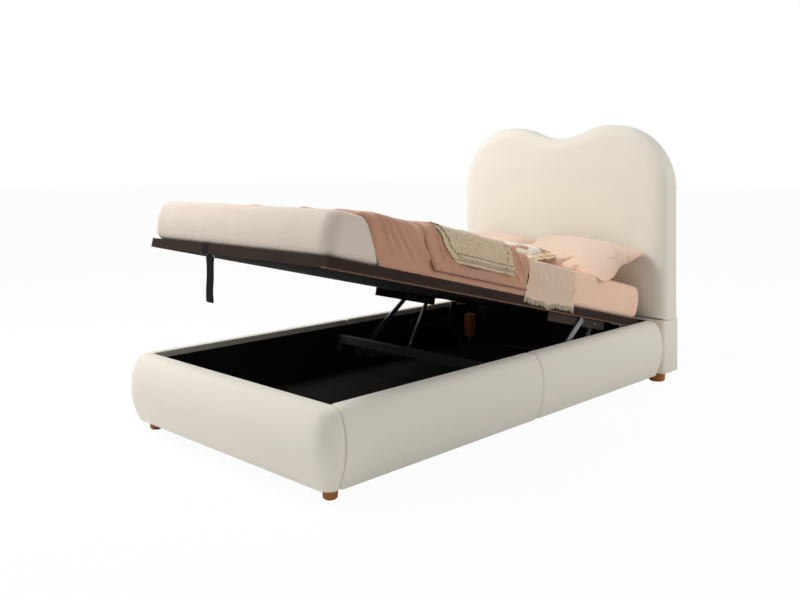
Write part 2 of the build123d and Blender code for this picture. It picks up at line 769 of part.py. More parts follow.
# ---------------------------------------------------------------- write every piece
def build():
    seam = foot_y + side_seam
    near_foot, near_head = side_cover(foot_y, seam), side_cover(seam, head_y)
    save("side_cover_near_foot", near_foot)
    save("side_cover_near_head", near_head)
    save("side_cover_far_foot", mirror(near_foot, Plane.YZ))
    save("side_cover_far_head", mirror(near_head, Plane.YZ))
    save("side_rail_boards", both(side_board(foot_y, seam)) + both(side_board(seam, head_y)))
    save("foot_cover", foot_cover())
    save("foot_board", foot_board())
    stays = headboard_stays()
    panel, base = headboard_panel(), headboard_base()
    for stay in stays:
        panel, base = panel - stay, base - stay
    save("headboard_panel", panel)
    save("headboard_base", base)
    save("headboard_stays", stays)
    glides = []
    for side, sign in (("near", 1), ("far", -1)):
        body, glide = leg(sign * front_leg_x, foot_y + front_leg_inset, rail_bottom, front_leg_top, front_leg_foot)
        save(f"front_leg_{side}", body)
        glides.append(glide)
        body, glide = leg(sign * rear_leg_x, head_y + rear_leg_inset, headboard_bottom, rear_leg_top, rear_leg_foot)
        save(f"rear_leg_{side}", body)
        glides.append(glide)
    save("leg_glides", glides)
    floor_foot, floor_head = floor_panels()
    battens, joists = floor_supports()
    save("floor_panel_foot", floor_foot)
    save("floor_panel_head", floor_head)
    save("floor_battens", battens)
    save("floor_joists", joists)
    save("cross_beam", beam())
    save("beam_brackets", beam_brackets())
    save("corner_blocks", corner_blocks())
    save("head_posts", head_posts())
    save("post_bolts", post_bolts())

    plate, heads, studs, guide = lift_plate(), lift_plate_bolts(), base_studs(), guide_plate()
    near_arm, near_rod, near_tube = arm(), strut_rod(), strut_tube()
    save("lift_plate_near", plate)
    save("lift_plate_far", mirror(plate, Plane.YZ))
    save("guide_plate_near", guide)
    save("guide_plate_far", mirror(guide, Plane.YZ))
    save("plate_bolts", [s for h in heads for s in both(h)])
    save("base_studs", [s for h in studs for s in both(h)])
    for side, flip in (("near", False), ("far", True)):
        save(f"lift_arm_{side}", mirror(near_arm, Plane.YZ) if flip else near_arm)
        save(f"strut_rod_{side}", mirror(near_rod, Plane.YZ) if flip else near_rod)
        save(f"strut_tube_{side}", mirror(near_tube, Plane.YZ) if flip else near_tube)

    save("angle_bars", both(angle_bar()))
    save("pivot_pins", both(arm_head_pin()) + both(strut_head_pin()))
    save("guide_lugs", both(guide_lug()))
    save("platform_side_boards", side_boards())
    save("platform_edge_strips", edge_strips())
    save("platform_foot_board", end_board(0))
    save("platform_head_board", end_board(platform_length - frame_board))
    save("slat_ledges", slat_ledges())
    save("platform_spine", spine())
    save("slats", slats())
    save("under_cloth", under_cloth())
    save("strap_hanger", strap_hanger())
    save("pull_strap", pull_strap())

    save("mattress", tilt(mattress()))
    save("fitted_sheet", tilt(sheet()))
    save("duvet", tilt(duvet()))
    save("duvet_fold", tilt(duvet_fold()))
    save("knit_throw", tilt(knit_throw()))
    save("thin_blanket", tilt(veil()))
    bed_top = mattress_height + sheet_thickness + 2 * soft_gap
    big = pillow(pillow_length, pillow_depth, pillow_crown, pillow_draw)
    save("pillow_near", lay(big, pillow_x, pillow_head, pillow_tilt, bed_top))
    save("pillow_far", lay(big, -pillow_x, pillow_head, pillow_tilt, bed_top))
    small = pillow(cushion_length, cushion_depth, cushion_crown, cushion_draw)
    save("cushion", lay(small, cushion_x, cushion_head, cushion_tilt, bed_top + veil_thickness + soft_gap))


build()
print("closed turn", round(closed_turn, 3), "open turn", round(open_turn, 3))
print("foot corner", [round(v, 2) for v in foot_corner], "closed height", round(closed_height, 2))
print("arm pivots", arm_base, [round(v, 3) for v in arm_head])
print("strut pivots", strut_base, [round(v, 3) for v in strut_head], "reach", round(strut_reach, 2))
print("strap hinge", [round(v, 3) for v in platform_point(strap_station, frame_depth + strap_drop)])
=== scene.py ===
"""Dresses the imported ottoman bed: padding, bedding, finishes, studio and camera."""
import logging
import math
from collections.abc import Callable, Iterable, Sequence
from dataclasses import dataclass, field
from enum import Enum
from functools import cache

import bmesh
import bpy
from mathutils import Matrix, Vector, noise


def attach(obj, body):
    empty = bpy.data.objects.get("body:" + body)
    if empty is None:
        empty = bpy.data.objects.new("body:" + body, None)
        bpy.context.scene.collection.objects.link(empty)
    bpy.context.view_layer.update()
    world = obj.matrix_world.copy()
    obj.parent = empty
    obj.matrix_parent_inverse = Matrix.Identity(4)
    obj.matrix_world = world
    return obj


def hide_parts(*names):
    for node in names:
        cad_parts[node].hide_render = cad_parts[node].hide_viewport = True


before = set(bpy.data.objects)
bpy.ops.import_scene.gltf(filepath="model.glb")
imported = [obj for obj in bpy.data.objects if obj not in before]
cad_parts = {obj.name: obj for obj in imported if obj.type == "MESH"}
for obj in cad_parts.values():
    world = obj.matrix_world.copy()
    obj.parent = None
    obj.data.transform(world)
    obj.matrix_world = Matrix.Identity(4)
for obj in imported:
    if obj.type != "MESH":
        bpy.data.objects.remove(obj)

log = logging.getLogger("ottoman_bed")
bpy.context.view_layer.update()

Colour = tuple[float, float, float]
Socket = bpy.types.NodeSocket
Shape, Vert, Edge, Face = bmesh.types.BMesh, bmesh.types.BMVert, bmesh.types.BMEdge, bmesh.types.BMFace

FOOT_Y = -1.001            # inner face of the foot rail
HEAD_Y = 0.937             # front face of the headboard
HALF_CLEAR = 0.505         # inner face of a side rail
ON_PLATFORM = Matrix.Translation((0.0, -1.00347, 0.72269)) @ Matrix.Rotation(math.radians(-12.9), 4, "X")


def written(red: int, green: int, blue: int) -> Colour:
    """The linear colour of three display values from 0 to 255."""
    shares = [value / 255 for value in (red, green, blue)]
    return tuple(share / 12.92 if share <= 0.04045 else ((share + 0.055) / 1.055) ** 2.4 for share in shares)


def darker(colour: Colour, share: float) -> Colour:
    """The colour times a share."""
    return tuple(channel * share for channel in colour)


def ripple(point: Sequence[float], scale: float, seed: float = 0.0) -> float:
    """Smooth noise from about -1 to 1 at a point."""
    return noise.noise(Vector((point[0] * scale + seed, point[1] * scale - seed, point[2] * scale + 2 * seed)))


def ease(value: float) -> float:
    """A smooth step from 0 to 1."""
    value = min(1.0, max(0.0, value))
    return value * value * (3 - 2 * value)


# ---------------------------------------------------------------- finishes
@dataclass
class Wiring:
    """Adds nodes to a node tree."""

    tree: bpy.types.NodeTree

    def feed(self, target: Socket, value: object) -> None:
        """Links a socket to a target, or sets a constant on it."""
        if isinstance(value, Socket):
            self.tree.links.new(value, target)
        else:
            target.default_value = (*value, 1.0) if target.type == "RGBA" else value

    def node(self, kind: str, inputs: dict[str | int, object], **settings: object) -> bpy.types.Node:
        """Adds a node.

        Args:
            kind: Its type.
            inputs: What goes into its sockets, another socket or a constant.
            settings: Its own settings.

        Returns:
            The node.
        """
        made = self.tree.nodes.new(kind)
        for key, value in settings.items():
            setattr(made, key, value)
        for key, value in inputs.items():
            self.feed(made.inputs[key], value)
        return made

    def maths(self, operation: str, first: object, second: object = 0.0) -> Socket:
        """Two values, sockets or numbers, put through one operation."""
        return self.node("ShaderNodeMath", {0: first, 1: second}, operation=operation).outputs[0]


class Shade(Wiring):
    """A material that is being wired: one Principled shader and the nodes that feed it."""

    def __init__(self, name: str, roughness: float, metallic: float = 0.0, sheen: float = 0.0,
                 coat: float = 0.0, specular: float = 0.5) -> None:
        """Makes the material.

        Args:
            name: Name of the material.
            roughness: Roughness, the same all over until a node drives it.
            metallic: 1 for bare metal.
            sheen: Weight of the soft edge light of cloth.
            coat: Weight of a clear coat.
            specular: Specular level.
        """
        self.material = bpy.data.materials.new(name)
        self.material.use_nodes = True
        super().__init__(self.material.node_tree)
        self.shader = self.tree.nodes["Principled BSDF"]
        for label, value in (("Roughness", roughness), ("Metallic", metallic), ("Sheen Weight", sheen),
                             ("Sheen Roughness", 0.5), ("Coat Weight", coat), ("Specular IOR Level", specular)):
            self.shader.inputs[label].default_value = value

    def place(self, scale: Sequence[float] = (1, 1, 1), turn: float = 0.0, chart: bool = False) -> Socket:
        """Coordinates in metres.

        Args:
            scale: Scale on each axis.
            turn: Turn about Z, in degrees.
            chart: Whether to read the piece's own UV map, and not the object's axes.

        Returns:
            The vector socket.
        """
        source = self.node("ShaderNodeTexCoord", {}).outputs["UV" if chart else "Object"]
        return self.node("ShaderNodeMapping", {"Vector": source, "Scale": scale,
                                               "Rotation": (0, 0, math.radians(turn))}).outputs["Vector"]

    def cloud(self, vector: Socket, scale: float, detail: float = 4.0, rough: float = 0.5) -> Socket:
        """Noise from 0 to 1 on a vector."""
        return self.node("ShaderNodeTexNoise", {"Vector": vector, "Scale": scale, "Detail": detail,
                                                "Roughness": rough}).outputs["Fac"]

    def bands(self, vector: Socket, period: float, axis: str, distortion: float = 0.0) -> Socket:
        """Sine bands from 0 to 1 across an axis, with their period in metres."""
        return self.node("ShaderNodeTexWave", {"Vector": vector, "Scale": math.pi / (10 * period),
                                               "Distortion": distortion}, bands_direction=axis).outputs["Fac"]

    def total(self, *parts: tuple[Socket, float]) -> Socket:
        """The sum of sockets, each times its weight."""
        whole, *others = [self.maths("MULTIPLY", socket, weight) for socket, weight in parts]
        for other in others:
            whole = self.maths("ADD", whole, other)
        return whole

    def threads(self, vector: Socket, period: float, axes: str, distortion: float, weight: float = 1.0) -> Socket:
        """Crossing threads: bands across some axes, each times a weight, added up."""
        return self.total(*((self.bands(vector, period, axis, distortion), weight) for axis in axes))

    def parts(self, vector: Socket) -> bpy.types.NodeOutputs:
        """A vector's three components."""
        return self.node("ShaderNodeSeparateXYZ", {0: vector}).outputs

    def ramp(self, factor: Socket, *stops: tuple[float, Colour]) -> Socket:
        """Colours along a factor."""
        made = self.node("ShaderNodeValToRGB", {"Fac": factor})
        band = made.color_ramp
        while len(band.elements) < len(stops):
            band.elements.new(1.0)
        for element, (at, colour) in zip(band.elements, stops):
            element.position, element.color = at, (*colour, 1.0)
        return made.outputs["Color"]

    def span(self, factor: Socket, low: float, high: float, to_low: float, to_high: float) -> Socket:
        """A value moved from one range to another, and kept inside it."""
        return self.node("ShaderNodeMapRange", {"Value": factor, "From Min": low, "From Max": high, "To Min": to_low,
                                                "To Max": to_high}).outputs["Result"]

    def blend(self, factor: Socket, first: object, second: object) -> Socket:
        """Two colours mixed by a factor."""
        return self.node("ShaderNodeMix", {"Factor": factor, 6: first, 7: second}, data_type="RGBA").outputs[2]

    def relief(self, height: Socket, depth: float, strength: float = 1.0, under: Socket | None = None) -> Socket:
        """A bump, its depth in metres, on top of another one."""
        made = self.node("ShaderNodeBump", {"Height": height, "Distance": depth, "Strength": strength})
        if under is not None:
            self.feed(made.inputs["Normal"], under)
        return made.outputs["Normal"]

    def finish(self, colour: Socket, normal: Socket, roughness: Socket | None = None) -> bpy.types.Material:
        """Feeds the shader and hands the material over."""
        for label, socket in (("Base Color", colour), ("Normal", normal), ("Roughness", roughness)):
            if socket is not None:
                self.feed(self.shader.inputs[label], socket)
        return self.material


@dataclass(frozen=True)
class WovenCloth:
    """Plain-woven cloth: crossing threads, uneven yarn, soft shading and a little fuzz."""

    name: str
    colour: Colour
    thread: float = 0.0016        # from one thread to the next
    depth: float = 0.00018
    uneven: float = 0.06          # how far the colour wanders
    crease: float = 0.0012        # depth of the soft creases
    crease_scale: float = 7.0
    sheen: float = 0.25
    roughness: float = 0.86
    chart: bool = False
    wrinkle: float = 0.0          # depth of sharp wrinkles

    def make(self) -> bpy.types.Material:
        """Builds the material."""
        shade = Shade(self.name, self.roughness, sheen=self.sheen, specular=0.25)
        place = shade.place(chart=self.chart)
        axes = "XY" if self.chart else "XYZ"
        weave = shade.threads(place, self.thread, axes, 0.6, 1 / len(axes))
        yarn = shade.cloud(place, 140.0, 3.0)
        tone = shade.total((weave, 0.35), (yarn, 0.30), (shade.cloud(place, 2.2, 3.0), 0.35))
        colour = shade.ramp(tone, (0.25, darker(self.colour, 1 - 1.6 * self.uneven)), (0.55, self.colour),
                            (0.85, darker(self.colour, 1 + 0.5 * self.uneven)))
        soft = shade.relief(shade.cloud(place, self.crease_scale, 2.5, 0.45), self.crease, 0.8)
        if self.wrinkle:
            slanted = shade.place(scale=(1.0, 0.6, 1.0), turn=35, chart=self.chart)
            sharp = shade.node("ShaderNodeTexNoise", {"Vector": slanted, "Scale": 9.0, "Detail": 2.0,
                                                      "Distortion": 0.5}, noise_type="RIDGED_MULTIFRACTAL")
            soft = shade.relief(sharp.outputs["Fac"], self.wrinkle, 1.0, soft)
        fine = shade.relief(weave, self.depth, 0.9, soft)
        fuzz = shade.relief(yarn, self.depth * 0.7, 0.7, fine)
        rough = shade.span(yarn, 0.2, 0.8, self.roughness - 0.06, min(1.0, self.roughness + 0.08))
        return shade.finish(colour, fuzz, rough)


@dataclass(frozen=True)
class WaffleCloth:
    """Peach pillow cotton with a fine raised dot in rows; the dots' darker colour is painted shade, laid on more
    towards the pillow's ends.
    """

    name: str
    colour: Colour
    # painted shade: the darker colour of the dots
    raised: Colour
    cell: float = 0.0115
    depth: float = 0.0016

    def make(self) -> bpy.types.Material:
        """Builds the material."""
        shade = Shade(self.name, 0.84, sheen=0.3, specular=0.25)
        place = shade.place(chart=True)
        across, along = (shade.bands(place, self.cell, axis, 0.15) for axis in "XY")
        dots = shade.maths("POWER", shade.maths("MULTIPLY", across, along), 1.6)
        # Painted shade: the dots' share grows from the pillow's middle out towards both ends.
        out = shade.maths("ABSOLUTE", shade.parts(place)["X"])
        dots = shade.maths("MULTIPLY", dots, shade.span(out, 0.06, 0.17, 0.12, 1.0))
        body = shade.ramp(shade.cloud(place, 3.0, 3.0), (0.3, darker(self.colour, 0.93)), (0.7, self.colour))
        colour = shade.blend(shade.maths("MULTIPLY", dots, 0.8), body, self.raised)
        creases = shade.relief(shade.cloud(place, 9.0, 3.0), 0.0016, 0.8)
        fine = shade.relief(shade.threads(place, 0.0013, "XY", 0.5), 0.00012, 0.8, creases)
        return shade.finish(colour, shade.relief(dots, self.depth, 1.0, fine))


@dataclass(frozen=True)
class KnitCloth:
    """Chunky flecked knit: rows of stitches, with a dark overcast line near each edge."""

    name: str
    light: Colour
    dark: Colour
    width: float
    length: float
    stitch: float = 0.0105
    border: float = 0.012

    def make(self) -> bpy.types.Material:
        """Builds the material."""
        shade = Shade(self.name, 0.92, sheen=0.35, specular=0.15)
        place = shade.place(chart=True)
        slanted, leaning = (shade.place(turn=turn, chart=True) for turn in (38, -38))
        herring = shade.maths("MULTIPLY", *(shade.bands(way, self.stitch * 0.8, "Y", 1.2)
                                            for way in (slanted, leaning)))
        loops = shade.total((shade.cloud(place, 60.0, 2.0), 0.25), (herring, 1.0))
        fleck = shade.cloud(place, 230.0, 4.0, 0.7)
        colour = shade.ramp(shade.total((loops, 0.55), (fleck, 0.6)), (0.26, self.dark),
                            (0.40, darker(self.light, 0.72)), (0.60, self.light))
        edges = []
        for axis, size in (("X", self.width), ("Y", self.length)):
            inner = shade.maths("ABSOLUTE", shade.maths("SUBTRACT", shade.parts(place)[axis], size / 2))
            gap = shade.maths("ABSOLUTE", shade.maths("SUBTRACT", inner, size / 2 - self.border))
            edges.append(shade.maths("LESS_THAN", gap, 0.0024))
        dash = shade.maths("GREATER_THAN", shade.bands(slanted, 0.0085, "X"), 0.5)
        overcast = shade.maths("MULTIPLY", shade.maths("MAXIMUM", *edges), dash)
        colour = shade.blend(overcast, colour, darker(self.dark, 0.3))
        return shade.finish(colour, shade.relief(loops, 0.0022, 1.0, shade.relief(fleck, 0.0008, 0.8)))


@dataclass(frozen=True)
class GauzeCloth:
    """Thin open weave with fine lengthwise slubs."""

    name: str
    colour: Colour
    slub: Colour

    def make(self) -> bpy.types.Material:
        """Builds the material."""
        shade = Shade(self.name, 0.9, sheen=0.4, specular=0.15)
        place = shade.place(chart=True)
        mesh = shade.maths("MAXIMUM", *(shade.bands(place, 0.0022, axis, 1.0) for axis in "YX"))
        streak = shade.cloud(shade.place(scale=(6.0, 160.0, 1.0), chart=True), 1.0, 3.0)
        colour = shade.ramp(shade.total((mesh, 0.5), (streak, 0.6)), (0.35, self.slub), (0.75, self.colour))
        creases = shade.relief(shade.cloud(shade.place(scale=(8.0, 30.0, 1.0), chart=True), 1.0, 3.0), 0.0018, 0.9)
        return shade.finish(colour, shade.relief(mesh, 0.0003, 0.9, creases))


@dataclass(frozen=True)
class PatchedCloth:
    """White cushion cotton with tufted tan patches of no set shape."""

    name: str
    ground: Colour
    patch: Colour
    accent: Colour

    def make(self) -> bpy.types.Material:
        """Builds the material."""
        shade = Shade(self.name, 0.88, sheen=0.3, specular=0.2)
        place = shade.place(chart=True)
        inside = shade.span(shade.cloud(shade.place(scale=(1.0, 1.35, 1.0), chart=True), 11.5, 0.5),
                            0.56, 0.575, 0.0, 1.0)
        second = shade.span(shade.cloud(shade.place(scale=(1.4, 1.0, 1.0), chart=True), 11.0, 0.5),
                            0.62, 0.635, 0.0, 1.0)
        tuft = shade.cloud(place, 320.0, 4.0, 0.7)
        ground = shade.ramp(tuft, (0.3, darker(self.ground, 0.9)), (0.7, self.ground))
        patch = shade.ramp(tuft, (0.3, darker(self.patch, 0.7)), (0.7, self.patch))
        colour = shade.blend(second, shade.blend(inside, ground, patch), self.accent)
        raised = shade.total((inside, 0.7), (shade.maths("MULTIPLY", inside, tuft), 0.8))
        fine = shade.relief(shade.threads(place, 0.0018, "XY", 0.5), 0.0002, 0.9)
        return shade.finish(colour, shade.relief(raised, 0.0016, 0.9, fine))


class Grain(Enum):
    """The axis that a timber's grain runs along."""

    ACROSS = (1.2, 26.0, 26.0)
    ALONG = (26.0, 1.2, 26.0)
    UPRIGHT = (26.0, 26.0, 1.6)


@dataclass(frozen=True)
class Timber:
    """Planed or turned wood: stretched grain, pores, broad colour drift and a satin film."""

    name: str
    light: Colour
    dark: Colour
    grain: Grain
    roughness: float = 0.5
    coat: float = 0.0

    def make(self) -> bpy.types.Material:
        """Builds the material."""
        shade = Shade(self.name, self.roughness, coat=self.coat)
        long_way = shade.place(scale=self.grain.value)
        pores = shade.cloud(long_way, 9.0, 3.0, 0.7)
        tone = shade.total((shade.cloud(long_way, 1.6, 6.0, 0.6), 0.65), (pores, 0.25),
                           (shade.cloud(shade.place(), 3.0, 2.0), 0.2))
        colour = shade.ramp(tone, (0.38, self.dark), (0.52, darker(self.light, 0.8)), (0.70, self.light))
        return shade.finish(colour, shade.relief(pores, 0.0004, 0.6),
                            shade.span(pores, 0.3, 0.7, self.roughness + 0.12, self.roughness - 0.05))


@dataclass(frozen=True)
class Metal:
    """Plated or painted steel: fine drawn lines or powder grain, smudges and worn edges."""

    name: str
    colour: Colour
    roughness: float
    metallic: float = 1.0
    worn: Colour | None = None
    grain: float = 0.00003
    specular: float = 0.5

    def make(self) -> bpy.types.Material:
        """Builds the material."""
        shade = Shade(self.name, self.roughness, metallic=self.metallic, specular=self.specular)
        place = shade.place()
        smudge = shade.cloud(place, 14.0, 4.0)
        drawn = shade.cloud(shade.place(scale=(8.0, 400.0, 400.0)), 1.0, 2.0)
        colour = shade.ramp(shade.total((smudge, 0.6), (drawn, 0.4)), (0.3, darker(self.colour, 0.72)),
                            (0.65, self.colour))
        if self.worn is not None:
            edge = shade.node("ShaderNodeNewGeometry", {}).outputs["Pointiness"]
            rubbed = shade.total((edge, 1.0), (smudge, 0.06))
            colour = shade.blend(shade.span(rubbed, 0.575, 0.62, 0.0, 0.75), colour, self.worn)
        return shade.finish(colour, shade.relief(shade.cloud(place, 900.0, 2.0), self.grain, 0.6),
                            shade.span(smudge, 0.3, 0.7, self.roughness - 0.06, self.roughness + 0.12))


@dataclass(frozen=True)
class WrappedBoard:
    """Board wrapped in close dark cloth or lining, with a faint weave and rubbed places."""

    name: str
    colour: Colour
    rubbed: Colour
    thread: float = 0.0014
    roughness: float = 0.85
    specular: float = 0.12

    def make(self) -> bpy.types.Material:
        """Builds the material."""
        shade = Shade(self.name, self.roughness, specular=self.specular)
        place = shade.place()
        weave = shade.threads(place, self.thread, "XYZ", 0.4, 0.333)
        worn = shade.cloud(place, 5.0, 5.0, 0.6)
        colour = shade.ramp(shade.total((weave, 0.3), (worn, 0.7)), (0.35, self.colour), (0.75, self.rubbed))
        return shade.finish(colour, shade.relief(weave, 0.00012, 0.8, shade.relief(worn, 0.0005, 0.5)))


@dataclass(frozen=True)
class Webbing:
    """Narrow woven tape: ribs across and cords along, read from its chart."""

    name: str
    colour: Colour

    def make(self) -> bpy.types.Material:
        """Builds the material."""
        shade = Shade(self.name, 0.8, specular=0.12)
        place = shade.place(chart=True)
        weave = shade.total((shade.bands(place, 0.0021, "Y", 0.2), 0.6), (shade.bands(place, 0.0030, "X", 0.1), 0.4))
        tone = shade.total((weave, 0.7), (shade.cloud(place, 260.0, 3.0), 0.3))
        colour = shade.ramp(tone, (0.2, darker(self.colour, 0.45)), (0.8, darker(self.colour, 1.7)))
        return shade.finish(colour, shade.relief(weave, 0.0004, 0.9))


@dataclass(frozen=True)
class Moulded:
    """Moulded plastic with a fine spark texture."""

    name: str
    colour: Colour

    def make(self) -> bpy.types.Material:
        """Builds the material."""
        shade = Shade(self.name, 0.55)
        place = shade.place()
        colour = shade.ramp(shade.cloud(place, 40.0, 4.0), (0.3, darker(self.colour, 0.8)),
                            (0.7, darker(self.colour, 1.3)))
        return shade.finish(colour, shade.relief(shade.cloud(place, 700.0, 3.0), 0.00008, 0.6))


CREAM = written(230, 224, 211)
PINK = written(194, 144, 118)
PEACH = written(239, 202, 176)

COVER = WovenCloth("cover_cloth", CREAM, thread=0.0019, depth=0.00013, uneven=0.035, crease=0.0016,
                   crease_scale=4.0, sheen=0.3, roughness=0.82)
MATTRESS_CLOTH = WovenCloth("mattress_cloth", written(218, 203, 189), thread=0.0013, uneven=0.04, crease=0.0022,
                            crease_scale=6.0)
SHEET_CLOTH = WovenCloth("fitted_sheet_cotton", PEACH, thread=0.0012, uneven=0.05, crease=0.0014,
                         crease_scale=8.0)
DUVET_CLOTH = WovenCloth("duvet_cotton", PINK, thread=0.0013, uneven=0.07, crease=0.0036, crease_scale=13.0,
                         chart=True, sheen=0.35, wrinkle=0.011)
# Dark cord colour: partly piping, partly painted shadow in the gaps where the folded half lies over the duvet.
PIPING_AND_SHADE_CLOTH = WovenCloth("duvet_piping_and_painted_shade", written(128, 72, 62), thread=0.0011, uneven=0.08, crease=0.0003)
# The second colour is the painted shade of the pillow's dots.
PILLOW_CLOTH = WaffleCloth("pillow_cotton", written(236, 208, 186), written(212, 164, 136))
PILLOW_CORD = WovenCloth("pillow_seam_cotton", written(242, 200, 176), thread=0.0010, uneven=0.05, crease=0.0003)
GAUZE = GauzeCloth("gauze_cotton", written(224, 198, 175), written(200, 170, 146))
GAUZE_ENDS = WovenCloth("gauze_fringe", written(244, 226, 200), thread=0.0011, uneven=0.10, crease=0.0002)
PATCHED = PatchedCloth("cushion_cotton", written(243, 236, 224), written(196, 148, 98), written(222, 196, 158))
TASSEL = WovenCloth("tassel_cotton", written(240, 224, 192), thread=0.0009, uneven=0.12, crease=0.0002)
LINING = WrappedBoard("lined_board", written(22, 20, 18), written(33, 30, 27))
BEAM_WRAP = WrappedBoard("beam_wrap", written(30, 27, 25), written(44, 40, 37), specular=0.3)
FASCIA = WrappedBoard("platform_wrap", written(46, 35, 30), written(60, 48, 41))
BLACK_CLOTH = WrappedBoard("under_lining", written(13, 12, 11), written(22, 20, 19), thread=0.0024, roughness=0.92)
PINE_ALONG = Timber("pine_along", written(226, 190, 140), written(190, 146, 98), Grain.ALONG, 0.6)
PINE_ACROSS = Timber("pine_across", written(226, 192, 145), written(192, 150, 102), Grain.ACROSS, 0.6)
PINE_UPRIGHT = Timber("pine_upright", written(222, 186, 138), written(186, 142, 96), Grain.UPRIGHT, 0.6)
ORANGE_STRIP = Timber("edge_strip_timber", written(112, 70, 36), written(74, 45, 22), Grain.ALONG, 0.55)
STAINED = Timber("stained_beech", written(178, 106, 38), written(112, 60, 14), Grain.UPRIGHT, 0.5, coat=0.12)
BLACK_STEEL = Metal("powder_black_steel", written(34, 33, 34), 0.48, metallic=0.35, worn=written(96, 94, 92))
BROWN_STEEL = Metal("brown_angle_steel", written(45, 35, 30), 0.62, metallic=0.0, worn=written(62, 51, 45),
                    specular=0.12)
ZINC = Metal("zinc_plate", written(148, 148, 150), 0.4)
BRIGHT = Metal("ground_rod", written(214, 215, 218), 0.2, grain=0.00001)
WEBBING = Webbing("strap_webbing", written(20, 19, 19))
GLIDE = Moulded("glide_plastic", written(46, 45, 44))


@cache
def finish_of(finish: object) -> bpy.types.Material:
    """The material of a finish dataclass, built on first use."""
    return finish.make()


# ---------------------------------------------------------------- making pieces
def mark_creases(mesh: Shape, angle: float = 42.0) -> None:
    """Shades every face smooth, with hard edges above an angle in degrees."""
    limit = math.radians(angle)
    for face in mesh.faces:
        face.smooth = True
    for edge in mesh.edges:
        edge.smooth = not (len(edge.link_faces) == 2 and edge.calc_face_angle(0.0) > limit)


def piece(name: str, mesh: Shape, finish: object, body: str,
          replaces: Iterable[str] = (), place: Matrix | None = None, smooth: int = 0,
          crease: float = 42.0) -> bpy.types.Object:
    """Turns a mesh into a finished piece that rides on a body.

    Args:
        name: Name of the piece.
        mesh: The shape, freed here.
        finish: Finish dataclass.
        body: CAD body that it rides on.
        replaces: CAD nodes it stands for.
        place: Where the drawn shape goes, such as ON_PLATFORM.
        smooth: Subdivision levels.
        crease: Angle above which an edge stays hard, in degrees.

    Returns:
        The object, at the origin, with its place in its mesh.
    """
    if place is not None:
        bmesh.ops.transform(mesh, matrix=place, verts=mesh.verts)
    mark_creases(mesh, crease)
    data = bpy.data.meshes.new(name)
    mesh.to_mesh(data)
    mesh.free()
    data.materials.append(finish_of(finish))
    made = bpy.data.objects.new(name, data)
    bpy.context.scene.collection.objects.link(made)
    if smooth:
        modifier = made.modifiers.new("Smooth", "SUBSURF")
        modifier.levels = modifier.render_levels = smooth
    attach(made, body)
    if replaces:
        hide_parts(*replaces)
    log.info("%s: %d faces on %s", name, len(data.polygons), body)
    return made


def dress(names: Iterable[str], finish: object) -> None:
    """Gives carried-over CAD nodes a finish."""
    for name in names:
        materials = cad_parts[name].data.materials
        materials.clear()
        materials.append(finish_of(finish))
        log.info("%s: %s", name, finish.name)


def cut(mesh: Shape, point: Sequence[float], normal: Sequence[float], clear: bool = False) -> None:
    """Cuts a mesh at a plane and, if asked, clears what lies behind it."""
    bmesh.ops.bisect_plane(mesh, geom=[*mesh.verts, *mesh.edges, *mesh.faces], plane_co=point, plane_no=normal,
                           clear_inner=clear)


def drawn_on(mesh: Shape, line: list[Edge]) -> tuple[list[Vert], list[Edge]]:
    """Extrudes a line of edges in place and returns the new points and the new line."""
    drawn = bmesh.ops.extrude_edge_only(mesh, edges=line)["geom"]
    points = [item for item in drawn if isinstance(item, Vert)]
    members = set(points)
    return points, [item for item in drawn if isinstance(item, Edge) and members.issuperset(item.verts)]


def soft_block(size: Sequence[float], centre: Sequence[float], corner: tuple[float, int],
               rim: tuple[float, int]) -> Shape:
    """A block with rounded upright edges and rims.

    Args:
        size: Its size on each axis.
        centre: Its middle.
        corner: Radius and steps of the upright edges.
        rim: The same for the edges of its top and bottom.

    Returns:
        The closed mesh.
    """
    mesh = bmesh.new()
    bmesh.ops.create_cube(mesh, size=1.0)
    bmesh.ops.scale(mesh, verts=mesh.verts, vec=size)
    bmesh.ops.translate(mesh, verts=mesh.verts, vec=centre)
    for upright, (radius, steps) in ((True, corner), (False, rim)):
        rises = {edge: abs(edge.verts[0].co.z - edge.verts[1].co.z) for edge in mesh.edges}
        chosen = [edge for edge, rise in rises.items() if (rise > 0.1 if upright else rise < 0.001)]
        bmesh.ops.bevel(mesh, geom=chosen, offset=radius, segments=steps, profile=0.5, affect="EDGES", material=-1)
    return mesh


def chart_of(mesh: Shape) -> bmesh.types.BMLayerItem:
    """The mesh's UV layer, made if it has none."""
    return mesh.loops.layers.uv.get("chart") or mesh.loops.layers.uv.new("chart")


def set_chart(mesh: Shape, spot: Callable[[Vert], Sequence[float]]) -> None:
    """Fills the mesh's UV map from a function of each vertex."""
    chart = chart_of(mesh)
    for face in mesh.faces:
        for corner in face.loops:
            corner[chart].uv = spot(corner.vert)


def turn_point(mesh: Shape, vertex: Vert, centre: Sequence[float], axis: Sequence[float],
               degrees: float, steps: int) -> Vert:
    """Spins a vertex into an arc of edges.

    Args:
        mesh: Where the arc is drawn.
        vertex: Its first point.
        centre: Centre of the arc.
        axis: Axis of the turn.
        degrees: How far it turns.
        steps: How many edges it has.

    Returns:
        The arc's last vertex.
    """
    spun = bmesh.ops.spin(mesh, geom=[vertex], cent=centre, axis=axis, dvec=(0, 0, 0),
                          angle=math.radians(degrees), steps=steps, use_merge=False, use_duplicate=False)
    return next(item for item in spun["geom_last"] if isinstance(item, Vert))


def run_point(mesh: Shape, vertex: Vert, to: Sequence[float],
              steps: int = 1) -> Vert:
    """Draws straight edges from a vertex to a point and returns the last vertex."""
    step = (Vector(to) - vertex.co) / steps
    for _ in range(steps):
        drawn = bmesh.ops.extrude_vert_indiv(mesh, verts=[vertex])
        vertex = drawn["verts"][0]
        vertex.co += step
    return vertex


